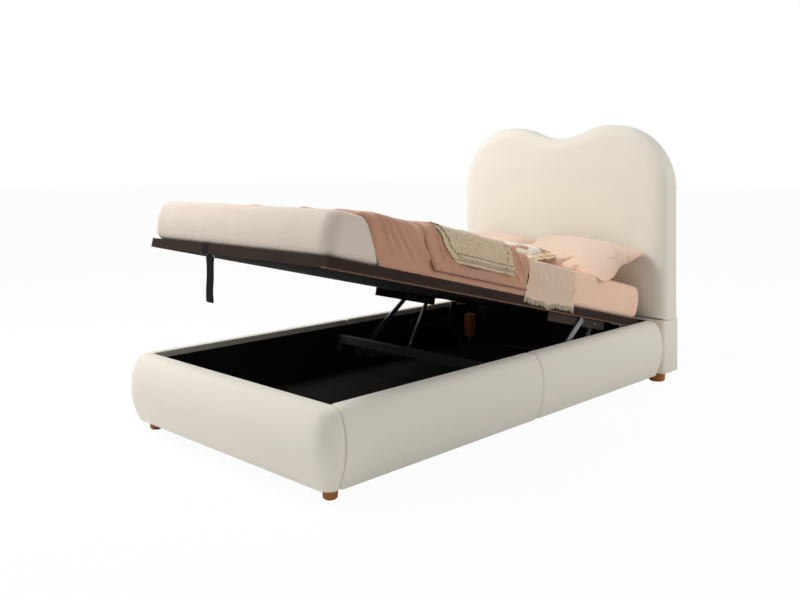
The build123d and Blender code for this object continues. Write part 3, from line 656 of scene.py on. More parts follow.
def cord_along(name: str, points: Sequence[Vector], radius: float, closed: bool = False) -> Shape:
    """A thin sewn-in cord along points, as a mesh.

    Args:
        name: Name for the working curve.
        points: The line it follows.
        radius: Radius of the cord.
        closed: Whether its ends meet.

    Returns:
        The cord's mesh.
    """
    curve = bpy.data.curves.new(name + "_line", "CURVE")
    curve.dimensions = "3D"
    curve.bevel_depth = radius
    curve.bevel_resolution = 1
    curve.use_fill_caps = not closed
    spline = curve.splines.new("POLY")
    spline.points.add(len(points) - 1)
    for target, point in zip(spline.points, points):
        target.co = (*point, 1.0)
    spline.use_cyclic_u = closed
    helper = bpy.data.objects.new(name + "_line", curve)
    data = bpy.data.meshes.new_from_object(helper)
    mesh = bmesh.new()
    mesh.from_mesh(data)
    bmesh.ops.remove_doubles(mesh, verts=mesh.verts, dist=0.00002)
    bmesh.ops.recalc_face_normals(mesh, faces=mesh.faces)
    bpy.data.objects.remove(helper)
    bpy.data.curves.remove(curve)
    bpy.data.meshes.remove(data)
    return mesh


# ---------------------------------------------------------------- rails
@dataclass
class RailPadding:
    """The padded rails: one section, run along each side and round the foot."""

    top: float = 0.286
    bottom: float = 0.040
    board: float = 0.018
    board_top: float = 0.262
    shoulder: float = 0.040
    shoulder_at: float = 0.02308
    belly_at: float = -0.141
    lower_at: float = -0.196
    height: float = 0.172
    shoulder_turn: float = 65.72
    belly_turn: float = 24.28
    lower_turn: float = 28.69
    roll: float = 0.015           # how far from a seam the padding starts to dip
    dip: float = 0.0065
    corner_roll: float = 0.034    # the same at the foot padding's ends
    corner_dip: float = 0.011
    belly_reach: float = 0.079    # how far the belly stands outside the inner face
    seam: float = -0.005          # between the halves of a side rail

    def section(self, mesh: Shape, origin: Vector, out: Vector) -> list[Edge]:
        """Draws the closed section and numbers its points in the ring layer.

        Args:
            mesh: Where it is drawn.
            origin: Point on the floor under the rail's inner face.
            out: Outward direction.

        Returns:
            The section's edges.
        """
        up = Vector((0, 0, 1))
        axis = up.cross(out)

        def at(away: float, height: float) -> Vector:
            """A point of the section in space."""
            return origin + out * away + up * height

        first = mesh.verts.new(at(0.0, self.board_top))
        last = run_point(mesh, first, at(0.0, self.top - 0.004), 2)
        last = turn_point(mesh, last, at(0.004, self.top - 0.004), axis, 90, 3)
        last = run_point(mesh, last, at(self.shoulder_at, self.top), 2)
        last = turn_point(mesh, last, at(self.shoulder_at, self.top - self.shoulder), axis, self.shoulder_turn, 8)
        last = turn_point(mesh, last, at(self.belly_at, self.height), axis, self.belly_turn, 9)
        last = turn_point(mesh, last, at(self.lower_at, self.height), axis, self.lower_turn, 11)
        last = run_point(mesh, last, at(self.board, self.bottom), 3)
        last = run_point(mesh, last, at(self.board, self.board_top), 4)
        mesh.edges.new((last, first))
        ring = mesh.verts.layers.int.get("ring") or mesh.verts.layers.int.new("ring")
        mesh.verts.ensure_lookup_table()
        mesh.edges.ensure_lookup_table()
        for index, vertex in enumerate(mesh.verts):
            vertex[ring] = index
        return list(mesh.edges)

    def outward(self, mesh: Shape, out: Vector) -> list[tuple[float, float]]:
        """How each numbered point moves when the padding swells: away from the rail, and up."""
        points = [vertex.co.copy() for vertex in mesh.verts]
        result = []
        for index, point in enumerate(points):
            before, after = points[index - 1], points[(index + 1) % len(points)]
            line = (after - before).normalized()
            inner = (point.z < self.board_top + 0.001 and (point - points[0]).dot(out) < self.board + 0.001)
            result.append((0.0, 0.0) if inner else (-line.z, line.dot(out)))
        return result

    def sunk(self, distance: float, corner: bool = False) -> float:
        """How deep the padding dips at a distance from a seam, or from one of the foot's end seams."""
        roll, dip = (self.corner_roll, self.corner_dip) if corner else (self.roll, self.dip)
        share = max(0.0, 1 - distance / roll)
        return dip * (1 - math.sqrt(max(0.0, 1 - share * share)))

    def close(self, mesh: Shape, first: list, last: list) -> None:
        """Caps both ends, merges the points on the turning axis and points the faces outwards."""
        bmesh.ops.contextual_create(mesh, geom=first)
        bmesh.ops.contextual_create(mesh, geom=last)
        bmesh.ops.remove_doubles(mesh, verts=mesh.verts, dist=0.00005)
        bmesh.ops.recalc_face_normals(mesh, faces=mesh.faces)
        for vertex in mesh.verts:
            if vertex.co.z > self.bottom + 0.002 and (abs(vertex.co.x) > HALF_CLEAR + 0.03
                                                      or vertex.co.y < FOOT_Y - 0.03):
                vertex.co += vertex.normal * 0.0007 * ripple(vertex.co, 5.0)

    def side(self, sign: int, start: float, end: float) -> Shape:
        """One half of a side rail's padding.

        Args:
            sign: 1 near, -1 far.
            start: Y of its foot end.
            end: Y of its head end.

        Returns:
            The closed mesh.
        """
        mesh = bmesh.new()
        out = Vector((sign, 0, 0))
        first = self.section(mesh, Vector((sign * HALF_CLEAR, start, 0)), out)
        normals = self.outward(mesh, out)
        ring = mesh.verts.layers.int["ring"]
        plain = {vertex[ring]: vertex.co.copy() for vertex in mesh.verts}
        length = end - start
        near_seam = [0.0, 0.0012, 0.003, 0.006, 0.010, 0.015]
        inner = [0.015 + (length - 0.03) * index / 16 for index in range(1, 16)]
        stations = near_seam + inner + [length - distance for distance in reversed(near_seam)]
        loop = first
        for station in stations:
            dip = -self.sunk(min(station, length - station))
            if station > 0:
                points, loop = drawn_on(mesh, loop)
            else:
                points = list(mesh.verts)
            for vertex in points:
                away, rise = normals[vertex[ring]]
                vertex.co = plain[vertex[ring]] + Vector((0, station, rise * dip)) + out * (away * dip)
        self.close(mesh, first, loop)
        return mesh

    def foot(self) -> Shape:
        """The foot rail's padding, from one quarter turn across to the other."""
        mesh = bmesh.new()
        up = Vector((0, 0, 1))
        start = Vector((HALF_CLEAR, FOOT_Y, 0))
        first = self.section(mesh, start, Vector((1, 0, 0)))
        normals = self.outward(mesh, Vector((1, 0, 0)))
        ring = mesh.verts.layers.int["ring"]
        flat = {vertex[ring]: ((vertex.co - start).x, vertex.co.z) for vertex in mesh.verts}
        corner = [0.0, 1.0, 2.4, 4.5, 7.5, 11.5, 17, 24, 32, 41, 50, 60, 70, 80, 90]
        far = Vector((-HALF_CLEAR, FOOT_Y, 0))
        turns = [(start, -angle, angle) for angle in corner]
        turns += [(start + Vector((-2 * HALF_CLEAR * index / 20, 0, 0)), -90, 90) for index in range(1, 21)]
        turns += [(far, angle - 180, angle) for angle in reversed(corner[:-1])]
        places = [(origin, Vector((math.cos(math.radians(turn)), math.sin(math.radians(turn)), 0)),
                   self.sunk(math.radians(reach) * self.belly_reach, True)) for origin, turn, reach in turns]
        loop = first
        for index, (origin, out, dip) in enumerate(places):
            if index:
                points, loop = drawn_on(mesh, loop)
            else:
                points = list(mesh.verts)
            for vertex in points:
                number = vertex[ring]
                away, height = flat[number]
                move, rise = normals[number]
                vertex.co = origin + out * (away - move * dip) + up * (height - rise * dip)
        self.close(mesh, first, loop)
        return mesh

    def build(self) -> None:
        """Builds the five padded covers."""
        for side, sign in (("near", 1), ("far", -1)):
            for half, start, end in (("foot", FOOT_Y, self.seam), ("head", self.seam, HEAD_Y)):
                name = f"side_cover_{side}_{half}"
                made = piece(f"padded_rail_{side}_{half}", self.side(sign, start, end), COVER, "base",
                             [name])
        made = piece("padded_rail_foot", self.foot(), COVER, "base", ["foot_cover"])


# ---------------------------------------------------------------- headboard
@dataclass
class Headboard:
    """The upholstered headboard: a panel with two round lobes on a plain lower box."""

    half: float = 0.589
    back: float = 1.078
    seam: float = 0.2925
    lobe: float = 0.302
    lobe_height: float = 0.891
    dip_height: float = 1.52427
    lobe_turn: float = 114.38
    roll_wide: float = 0.068      # how far the front's soft edge reaches inwards
    roll_deep: float = 0.042
    back_roll: float = 0.030
    low: float = 0.050
    corner: float = 0.018

    def outline(self, mesh: Shape, y: float) -> Face:
        """Draws the two-lobed outline as one face, at a depth."""
        centre = self.half - self.lobe
        axis = (0, -1, 0)
        first = mesh.verts.new((self.half, y, self.seam))
        last = run_point(mesh, first, (self.half, y, self.lobe_height), 5)
        last = turn_point(mesh, last, (centre, y, self.lobe_height), axis, self.lobe_turn, 26)
        last = turn_point(mesh, last, (0, y, self.dip_height), axis, -2 * (self.lobe_turn - 90), 12)
        last = turn_point(mesh, last, (-centre, y, self.lobe_height), axis, self.lobe_turn, 26)
        last = run_point(mesh, last, (-self.half, y, self.seam), 5)
        last = run_point(mesh, last, (self.half - 0.1168, y, self.seam), 9)
        mesh.edges.new((last, first))
        return bmesh.ops.contextual_create(mesh, geom=list(mesh.edges))["faces"][0]

    def inset(self, mesh: Shape, face: Face, wide: float, move: Vector) -> None:
        """Insets a face by a width and moves it on."""
        bmesh.ops.inset_region(mesh, faces=[face], thickness=wide, depth=0.0, use_boundary=True,
                               use_even_offset=True, use_relative_offset=False)
        bmesh.ops.translate(mesh, verts=face.verts, vec=move)
        mesh.normal_update()

    def rounded(self, mesh: Shape, face: Face, wide: float, deep: float,
                steps: int) -> Face:
        """Rolls a face's rim over in an ellipse by insetting it again and again."""
        out = face.normal.copy()
        done_wide = done_deep = 0.0
        for step in range(1, steps + 1):
            angle = math.pi / 2 * step / steps
            new_wide, new_deep = wide * (1 - math.cos(angle)), deep * math.sin(angle)
            self.inset(mesh, face, new_wide - done_wide, out * (new_deep - done_deep))
            done_wide, done_deep = new_wide, new_deep
        return face

    def panel(self) -> Shape:
        """The upper panel, rolled at its rims and slightly crowned at the front."""
        mesh = bmesh.new()
        face = self.outline(mesh, HEAD_Y + self.roll_deep)
        mesh.normal_update()
        if face.normal.y > 0:
            bmesh.ops.reverse_faces(mesh, faces=[face])
        drawn = bmesh.ops.extrude_face_region(mesh, geom=[face], use_keep_orig=True)
        rear = next(item for item in drawn["geom"] if isinstance(item, Face))
        bmesh.ops.translate(mesh, verts=rear.verts,
                            vec=(0, self.back - self.back_roll - HEAD_Y - self.roll_deep, 0))
        mesh.normal_update()
        bmesh.ops.recalc_face_normals(mesh, faces=mesh.faces)
        mesh.normal_update()
        front = min(mesh.faces, key=lambda item: item.calc_center_median().y)
        rear = max(mesh.faces, key=lambda item: item.calc_center_median().y)
        self.rounded(mesh, front, self.roll_wide, self.roll_deep - 0.003, 12)
        self.rounded(mesh, rear, 0.034, self.back_roll, 7)
        for normal, reach, steps in (((1, 0, 0), self.half, 12), ((0, 0, 1), 1.2, 12)):
            for index in range(1, steps):
                height = -reach + 2 * reach * index / steps if normal[0] else 0.30 + 0.9 * index / steps
                cut(mesh, Vector(normal) * height, normal)
        for vertex in mesh.verts:
            above = vertex.co.z - self.seam
            if 0 < above < 0.22:
                share = above / 0.22
                vertex.co.z = self.seam + 0.22 * (share * share * 0.8 + 0.2 * share)
            if vertex.co.y < HEAD_Y + 0.0035:
                inside = min(self.half - abs(vertex.co.x), 1.13 - vertex.co.z, vertex.co.z - self.seam + 0.05)
                vertex.co.y -= 0.0026 * ease((inside - 0.055) / 0.25)
        bmesh.ops.triangulate(mesh, faces=[face for face in mesh.faces if len(face.verts) > 4],
                              ngon_method="BEAUTY")
        return mesh

    def box(self) -> Shape:
        """The lower box, with soft upright corners and a tucked lower edge."""
        top = self.seam - 0.001
        mesh = soft_block((2 * self.half, self.back - HEAD_Y, top - self.low),
                          (0, (self.back + HEAD_Y) / 2, (top + self.low) / 2), (self.corner, 6), (0.005, 3))
        bmesh.ops.recalc_face_normals(mesh, faces=mesh.faces)
        return mesh

    def lining(self) -> Shape:
        """Black lining over the lower box's face, where the rails and floor frame it."""
        mesh = bmesh.new()
        bmesh.ops.create_grid(mesh, x_segments=24, y_segments=6, size=1.0,
                              matrix=Matrix.Rotation(math.radians(90), 4, "X"))
        for vertex in mesh.verts:
            slack = 0.0004 * ripple((vertex.co.x * 3, 0.0, vertex.co.z * 2), 3.0)
            vertex.co = Vector((vertex.co.x * (HALF_CLEAR - 0.001), HEAD_Y - 0.0009 - abs(slack),
                                0.171 + vertex.co.z * 0.113))
        bmesh.ops.recalc_face_normals(mesh, faces=mesh.faces)
        bmesh.ops.solidify(mesh, geom=list(mesh.faces), thickness=0.0004)
        return mesh

    def build(self) -> None:
        """Builds both padded parts and their lining and dresses the stays."""
        panel = piece("padded_headboard", self.panel(), COVER, "base", ["headboard_panel"])
        low = piece("padded_headboard_box", self.box(), COVER, "base", ["headboard_base"], crease=60)
        lining = piece("headboard_lining", self.lining(), LINING, "base")
        dress(["headboard_stays"], PINE_UPRIGHT)


# ---------------------------------------------------------------- box, legs and lift
@dataclass
class StorageBox:
    """The timber box under the platform, its legs and its cross beam."""

    def build(self) -> None:
        """Dresses the box's nodes."""
        dress(["side_rail_boards", "foot_board", "floor_panel_foot", "floor_panel_head"], LINING)
        dress(["cross_beam"], BEAM_WRAP)
        dress(["floor_battens"], PINE_ALONG)
        dress(["floor_joists"], PINE_ACROSS)
        dress(["front_leg_near", "front_leg_far", "rear_leg_near", "rear_leg_far", "corner_blocks", "head_posts"],
              STAINED)
        dress(["leg_glides"], GLIDE)
        dress(["beam_brackets"], BLACK_STEEL)
        dress(["post_bolts"], ZINC)


@dataclass
class Lift:
    """The lift: base plates, arms, struts and guides."""

    def build(self) -> None:
        """Dresses the lift's nodes."""
        dress(["lift_plate_near", "lift_plate_far", "guide_plate_near", "guide_plate_far", "strut_tube_near",
               "strut_tube_far"], BLACK_STEEL)
        dress(["angle_bars"], BROWN_STEEL)
        dress(["lift_arm_near", "lift_arm_far", "plate_bolts", "base_studs", "pivot_pins", "guide_lugs",
               "strap_hanger"], ZINC)
        dress(["strut_rod_near", "strut_rod_far"], BRIGHT)


# ---------------------------------------------------------------- platform
@dataclass
class Platform:
    """The sprung platform: wrapped boards, slats, lining and pull strap."""

    half: float = 0.451
    start: float = 0.020
    end: float = 1.890
    depth: float = 0.0344
    sag: float = 0.0016
    strap_x: float = -0.125
    hinge: tuple[float, float] = (-0.999197, 0.678626)
    strap_length: float = 0.160
    strap_width: float = 0.038
    web: float = 0.0024

    def lining(self) -> Shape:
        """The thin cloth under the slats, sagging a little between its fixings."""
        mesh = bmesh.new()
        bmesh.ops.create_grid(mesh, x_segments=24, y_segments=48, size=1.0)
        for vertex in mesh.verts:
            across, along = vertex.co.x, (vertex.co.y + 1) / 2
            drop = (1 - abs(2 * abs(across) - 1) ** 2) * self.sag * (0.6 + 0.4 * math.sin(along * 44) ** 2)
            vertex.co = Vector((across * self.half, self.start + (self.end - self.start) * along,
                                -self.depth - drop))
        bmesh.ops.recalc_face_normals(mesh, faces=mesh.faces)
        bmesh.ops.solidify(mesh, geom=list(mesh.faces), thickness=0.0006)
        return mesh

    def strap(self) -> Shape:
        """Doubled webbing round the wire, stitched together under it and folded at its end."""
        mesh = bmesh.new()
        chart_of(mesh)
        y, z = self.hinge
        radius = 0.0032
        low = z - self.strap_length
        along = mesh.verts.layers.float.new("along")
        start = mesh.verts.new((self.strap_x - self.strap_width / 2, y - 0.0010, low + 0.003))
        last = start
        for step in range(1, 17):
            share = step / 16
            last = run_point(mesh, last, (start.co.x, y - 0.0010 - 0.0022 * ease((share - 0.82) / 0.18),
                                          low + 0.003 + (z - low - 0.003) * share))
        last = turn_point(mesh, last, (start.co.x, y, z), (-1, 0, 0), 180, 12)
        for step in range(1, 17):
            share = step / 16
            last = run_point(mesh, last, (start.co.x, y + 0.0010 + 0.0022 * (1 - ease(share / 0.18)),
                                          z - (z - low) * share))
        last = turn_point(mesh, last, (start.co.x, y + 0.0021, low), (-1, 0, 0), -180, 5)
        last = run_point(mesh, last, (start.co.x, y + 0.0032, low + 0.024), 4)
        mesh.verts.ensure_lookup_table()
        length = 0.0
        for index, vertex in enumerate(mesh.verts):
            if index:
                length += (vertex.co - mesh.verts[index - 1].co).length
            vertex[along] = length
        line = list(mesh.edges)
        for _ in range(8):
            points, line = drawn_on(mesh, line)
            bmesh.ops.translate(mesh, verts=points, vec=(self.strap_width / 8, 0, 0))
        for vertex in mesh.verts:
            hang = ease((z - 0.02 - vertex.co.z) / 0.1)
            vertex.co.x += 0.0012 * hang * math.sin((z - vertex.co.z) * 42)
            vertex.co.y += 0.0016 * hang * math.sin((z - vertex.co.z) * 30 + 0.6)
        set_chart(mesh, lambda vertex: (vertex.co.x - self.strap_x, vertex[along]))
        bmesh.ops.recalc_face_normals(mesh, faces=mesh.faces)
        bmesh.ops.solidify(mesh, geom=list(mesh.faces), thickness=-self.web * 0.5)
        return mesh

    def patch(self) -> Shape:
        """The strap's fixed end: webbing lapped over the foot board's face."""
        mesh = bmesh.new()
        chart_of(mesh)
        first = mesh.verts.new((self.strap_x - 0.019 - 0.016, 0.012, 0.0012))
        last = run_point(mesh, first, (first.co.x, 0.0, 0.0012), 3)
        last = turn_point(mesh, last, (first.co.x, 0.0, 0.0), (1, 0, 0), 90, 4)
        last = run_point(mesh, last, (first.co.x, -0.0012, -0.034), 8)
        last = turn_point(mesh, last, (first.co.x, 0.0, -0.034), (1, 0, 0), 90, 4)
        last = run_point(mesh, last, (first.co.x, 0.012, -0.0352), 3)
        line = list(mesh.edges)
        for _ in range(8):
            points, line = drawn_on(mesh, line)
            bmesh.ops.translate(mesh, verts=points, vec=(0.004, 0, 0))
        set_chart(mesh, lambda vertex: (vertex.co.x, vertex.co.z + vertex.co.y))
        bmesh.ops.recalc_face_normals(mesh, faces=mesh.faces)
        bmesh.ops.solidify(mesh, geom=list(mesh.faces), thickness=0.0010)
        return mesh

    def build(self) -> None:
        """Builds the lining and the strap and dresses the boards."""
        dress(["platform_side_boards", "platform_foot_board", "platform_head_board"], FASCIA)
        dress(["platform_edge_strips"], ORANGE_STRIP)
        dress(["slat_ledges", "platform_spine"], PINE_ALONG)
        dress(["slats"], PINE_ACROSS)
        lining = piece("under_lining", self.lining(), BLACK_CLOTH, "platform", ["under_cloth"],
                       ON_PLATFORM)
        patch = piece("pull_strap_fixing", self.patch(), WEBBING, "platform", (), ON_PLATFORM)
        strap = piece("pull_strap_web", self.strap(), WEBBING, "strap", ["pull_strap"])


# ---------------------------------------------------------------- mattress
@dataclass
class Bed:
    """The mattress's section across, which every layer over it follows."""

    half: float = 0.495
    height: float = 0.148
    round: float = 0.026
    start: float = 0.0025
    end: float = 1.9075

    @property
    def flat(self) -> float:
        """Arc length from the middle to where the top starts to turn down."""
        return self.half - self.round

    @property
    def turned(self) -> float:
        """Arc length from the middle to the end of the turn."""
        return self.flat + self.round * math.pi / 2

    def hem(self, above: float) -> float:
        """Arc length from the middle down to a height above the platform."""
        return self.turned + self.height - self.round - above

    def point(self, along: float, lift: float, station: float) -> Vector:
        """A point over the mattress.

        Args:
            along: Arc length from the middle, near side positive.
            lift: Distance above the mattress's surface.
            station: Distance from the platform's foot edge.

        Returns:
            The point on the untilted platform.
        """
        sign, length = (1 if along >= 0 else -1), abs(along)
        if length <= self.flat:
            return Vector((sign * length, station, self.height + lift))
        if length <= self.turned:
            angle = (length - self.flat) / self.round
            return Vector((sign * (self.flat + (self.round + lift) * math.sin(angle)), station,
                           self.height - self.round + (self.round + lift) * math.cos(angle)))
        return Vector((sign * (self.half + lift), station, self.height - self.round - (length - self.turned)))


BED = Bed()


@dataclass
class Mattress:
    """The mattress and the peach sheet fitted over its head half."""

    corner: float = 0.040
    crease: float = 0.0016
    sheet_start: float = 1.022
    sheet_low: float = 0.003

    def block(self, swell: float, bulge: float) -> Shape:
        """The mattress's rounded block.

        Args:
            swell: How far the surface stands outside the plain size.
            bulge: How far the end faces stand out at half height.

        Returns:
            The closed mesh.
        """
        length, height = BED.end - BED.start, BED.height + swell
        mesh = soft_block((2 * (BED.half + swell), length + 2 * swell, height),
                          (0, (BED.start + BED.end) / 2, height / 2), (self.corner + swell, 7), (BED.round + swell, 7))
        for index in range(1, 64):
            cut(mesh, (0, BED.start + length * index / 64, 0), (0, 1, 0))
        for index in range(-17, 18):
            cut(mesh, (index * 0.0265, 0, 0), (1, 0, 0))
        for index in range(1, 5):
            cut(mesh, (0, 0, BED.round + (BED.height - 2 * BED.round) * index / 5), (0, 0, 1))
        bmesh.ops.recalc_face_normals(mesh, faces=mesh.faces)
        mesh.normal_update()
        for vertex in mesh.verts:
            barrel = math.sin(math.pi * min(1.0, max(0.0, vertex.co.z / BED.height)))
            ends = max(ease(1 - (vertex.co.y - BED.start) / 0.10), ease(1 - (BED.end - vertex.co.y) / 0.12))
            creases = ripple((vertex.co.x * 5.5, vertex.co.y * 5.5, vertex.co.z * 0.6), 4.0, 3.1)
            foot = ease(1 - (vertex.co.y - BED.start) / 0.30)
            drawn = 1 + 1.6 * foot * ease((-0.05 - vertex.co.x) / 0.25)
            vertex.co += vertex.normal * (bulge * barrel * max(0.85 * ends, foot) + self.crease * drawn * creases
                                          * barrel * max(0.35, ends))
        return mesh

    def fitted(self) -> Shape:
        """The fitted sheet: the block's skin, cut off at its edge and under the rim."""
        mesh = self.block(0.0013, 0.015)
        cut(mesh, (0, self.sheet_start, 0), (0, 1, 0), clear=True)
        cut(mesh, (0, 0, self.sheet_low), (0, 0, 1), clear=True)
        bmesh.ops.solidify(mesh, geom=list(mesh.faces), thickness=0.0008)
        return mesh

    def build(self) -> None:
        """Builds both."""
        mattress = piece("mattress_body", self.block(0.0, 0.015), MATTRESS_CLOTH, "platform",
                         ["mattress"], ON_PLATFORM, crease=60)
        sheet = piece("fitted_sheet_cover", self.fitted(), SHEET_CLOTH, "platform",
                      ["fitted_sheet"], ON_PLATFORM, crease=60)


# ---------------------------------------------------------------- bedding
@dataclass(frozen=True)
class Fold:
    """A raised crease in a layer, from one arc length and station to another."""

    start_along: float
    start_station: float
    end_along: float
    end_station: float
    height: float
    width: float

    def rise(self, along: float, station: float) -> float:
        """How much it raises a place of the layer."""
        start = Vector((self.start_along, self.start_station))
        line, place = Vector((self.end_along, self.end_station)) - start, Vector((along, station)) - start
        inside = min(1.0, max(0.0, place.dot(line) / line.dot(line)))
        gap = (place - line * inside).length
        taper = math.sin(math.pi * min(1.0, 0.18 + 0.82 * inside))
        return self.height * max(0.12, taper) * math.exp(-(gap / self.width) ** 2)


@dataclass
class Layer:
    """A padded or plain layer over the mattress, drawn as a grid that is laid over its section."""

    start_top: float
    start_hem: float
    end_top: float
    end_hem: float
    hem: float                    # height of its hem above the platform
    lift: float                   # underside, above the mattress's surface
    top_puff: float
    side_puff: float
    hem_puff: float
    side_lift: float | None = None    # the same on the sides
    hem_lift: float | None = None     # the same at the hems
    bow: float = 0.0              # how far its cross edges bow towards the foot
    rim: float = 0.03             # how far from its edges it thins out
    far: float | None = None      # arc length of the far edge, where it isn't the far hem
    ripple: float = 0.15
    ripple_scale: float = 9.0
    seed: float = 0.0
    folds: tuple[Fold, ...] = ()
    across: int = 110
    lengthwise: int = 60
    crowded: bool = True

    @property
    def edges(self) -> tuple[float, float]:
        """Arc lengths of its far and its near edge."""
        near = BED.hem(self.hem)
        return (-near if self.far is None else self.far), near

    def spot(self, a: float, b: float) -> tuple[float, float]:
        """Arc length and station of a place of the layer, both its shares from 0 to 1."""
        far, near = self.edges
        along = far + (near - far) * a
        down = max(0.0, (abs(along) - BED.flat) / (near - BED.flat))
        bowed = self.bow * math.sin(math.pi * min(1.0, down))
        start = self.start_top + (self.start_hem - self.start_top) * down - bowed
        end = self.end_top + (self.end_hem - self.end_top) * down - 0.4 * bowed
        return along, start + (end - start) * b

    def under(self, along: float) -> float:
        """Height of the layer's underside above the mattress's surface."""
        side = self.lift if self.side_lift is None else self.side_lift
        hem = side if self.hem_lift is None else self.hem_lift
        lift = self.lift + (side - self.lift) * ease((abs(along) - BED.flat + 0.02) / 0.06)
        return lift + (hem - lift) * ease((abs(along) - BED.hem(0.072)) / 0.036)

    def thick(self, a: float, b: float, along: float, station: float) -> float:
        """Thickness of the filling at a place."""
        far, near = self.edges
        down = ease((abs(along) - BED.flat + 0.02) / (near - BED.flat))
        body = self.top_puff + (self.side_puff - self.top_puff) * down
        low = ease((abs(along) - BED.hem(0.072)) / 0.036)
        body += (self.hem_puff - body) * low
        gap = min(min(a, 1 - a) * (near - far), min(b, 1 - b) * (self.end_top - self.start_top))
        edge = math.sqrt(max(0.0, 1 - (1 - min(1.0, gap / self.rim)) ** 2))
        bumps = ripple((along, station, self.seed), self.ripple_scale, self.seed)
        bumps += 0.5 * ripple((along, station, self.seed + 5), self.ripple_scale * 2.3, self.seed)
        raised = sum(fold.rise(along, station) for fold in self.folds) * (1 - low)
        return max(0.0, body * (1 + self.ripple * bumps * (1 - 0.7 * low)) + raised) * edge

    def shares(self, count: int) -> list[float]:
        """Places of the grid's lines from 0 to 1, closer together at the edges."""
        if not self.crowded:
            return [index / count for index in range(count + 1)]
        return [0.275 * (1 - math.cos(math.pi * index / count)) + 0.45 * index / count
                for index in range(count + 1)]

    def grid(self, raise_by: Callable[[float, float, float, float], float]) -> Shape:
        """A grid laid over the mattress.

        Args:
            raise_by: Extra lift from both shares, the arc length and the station.

        Returns:
            The open mesh, with its chart in metres.
        """
        mesh = bmesh.new()
        chart_of(mesh)
        bmesh.ops.create_grid(mesh, x_segments=self.across, y_segments=self.lengthwise, size=1.0)
        lines_a, lines_b = self.shares(self.across), self.shares(self.lengthwise)
        places: dict[Vert, tuple[float, float]] = {}
        for vertex in mesh.verts:
            a = lines_a[round((vertex.co.x + 1) / 2 * self.across)]
            b = lines_b[round((vertex.co.y + 1) / 2 * self.lengthwise)]
            along, station = self.spot(a, b)
            places[vertex] = (along, station)
            vertex.co = BED.point(along, self.under(along) + raise_by(a, b, along, station), station)
        set_chart(mesh, places.get)
        mesh.normal_update()
        middle = min(mesh.faces, key=lambda face: face.calc_center_median().x ** 2)
        if middle.normal.z < 0:
            bmesh.ops.reverse_faces(mesh, faces=mesh.faces)
        return mesh

    def filled(self) -> Shape:
        """The closed, padded layer: a puffed face over a plain one, sewn together at the rim."""
        upper = self.grid(self.thick)
        lower = self.grid(lambda a, b, along, station: 0.0)
        bmesh.ops.reverse_faces(lower, faces=lower.faces)
        data = bpy.data.meshes.new("lower_face")
        lower.to_mesh(data)
        lower.free()
        upper.from_mesh(data)
        bpy.data.meshes.remove(data)
        bmesh.ops.remove_doubles(upper, verts=upper.verts, dist=0.00004)
        return upper

    def edge_line(self, side: str, steps: int, out: float) -> list[Vector]:
        """Points along one edge, foot, near or far, lifted by a distance."""
        points = []
        for index in range(steps + 1):
            share = index / steps
            a, b = {"foot": (share, 0.0), "near": (1.0, share), "far": (0.0, share)}[side]
            along, station = self.spot(a, b)
            points.append(BED.point(along, self.under(along) + out, station))
        return points


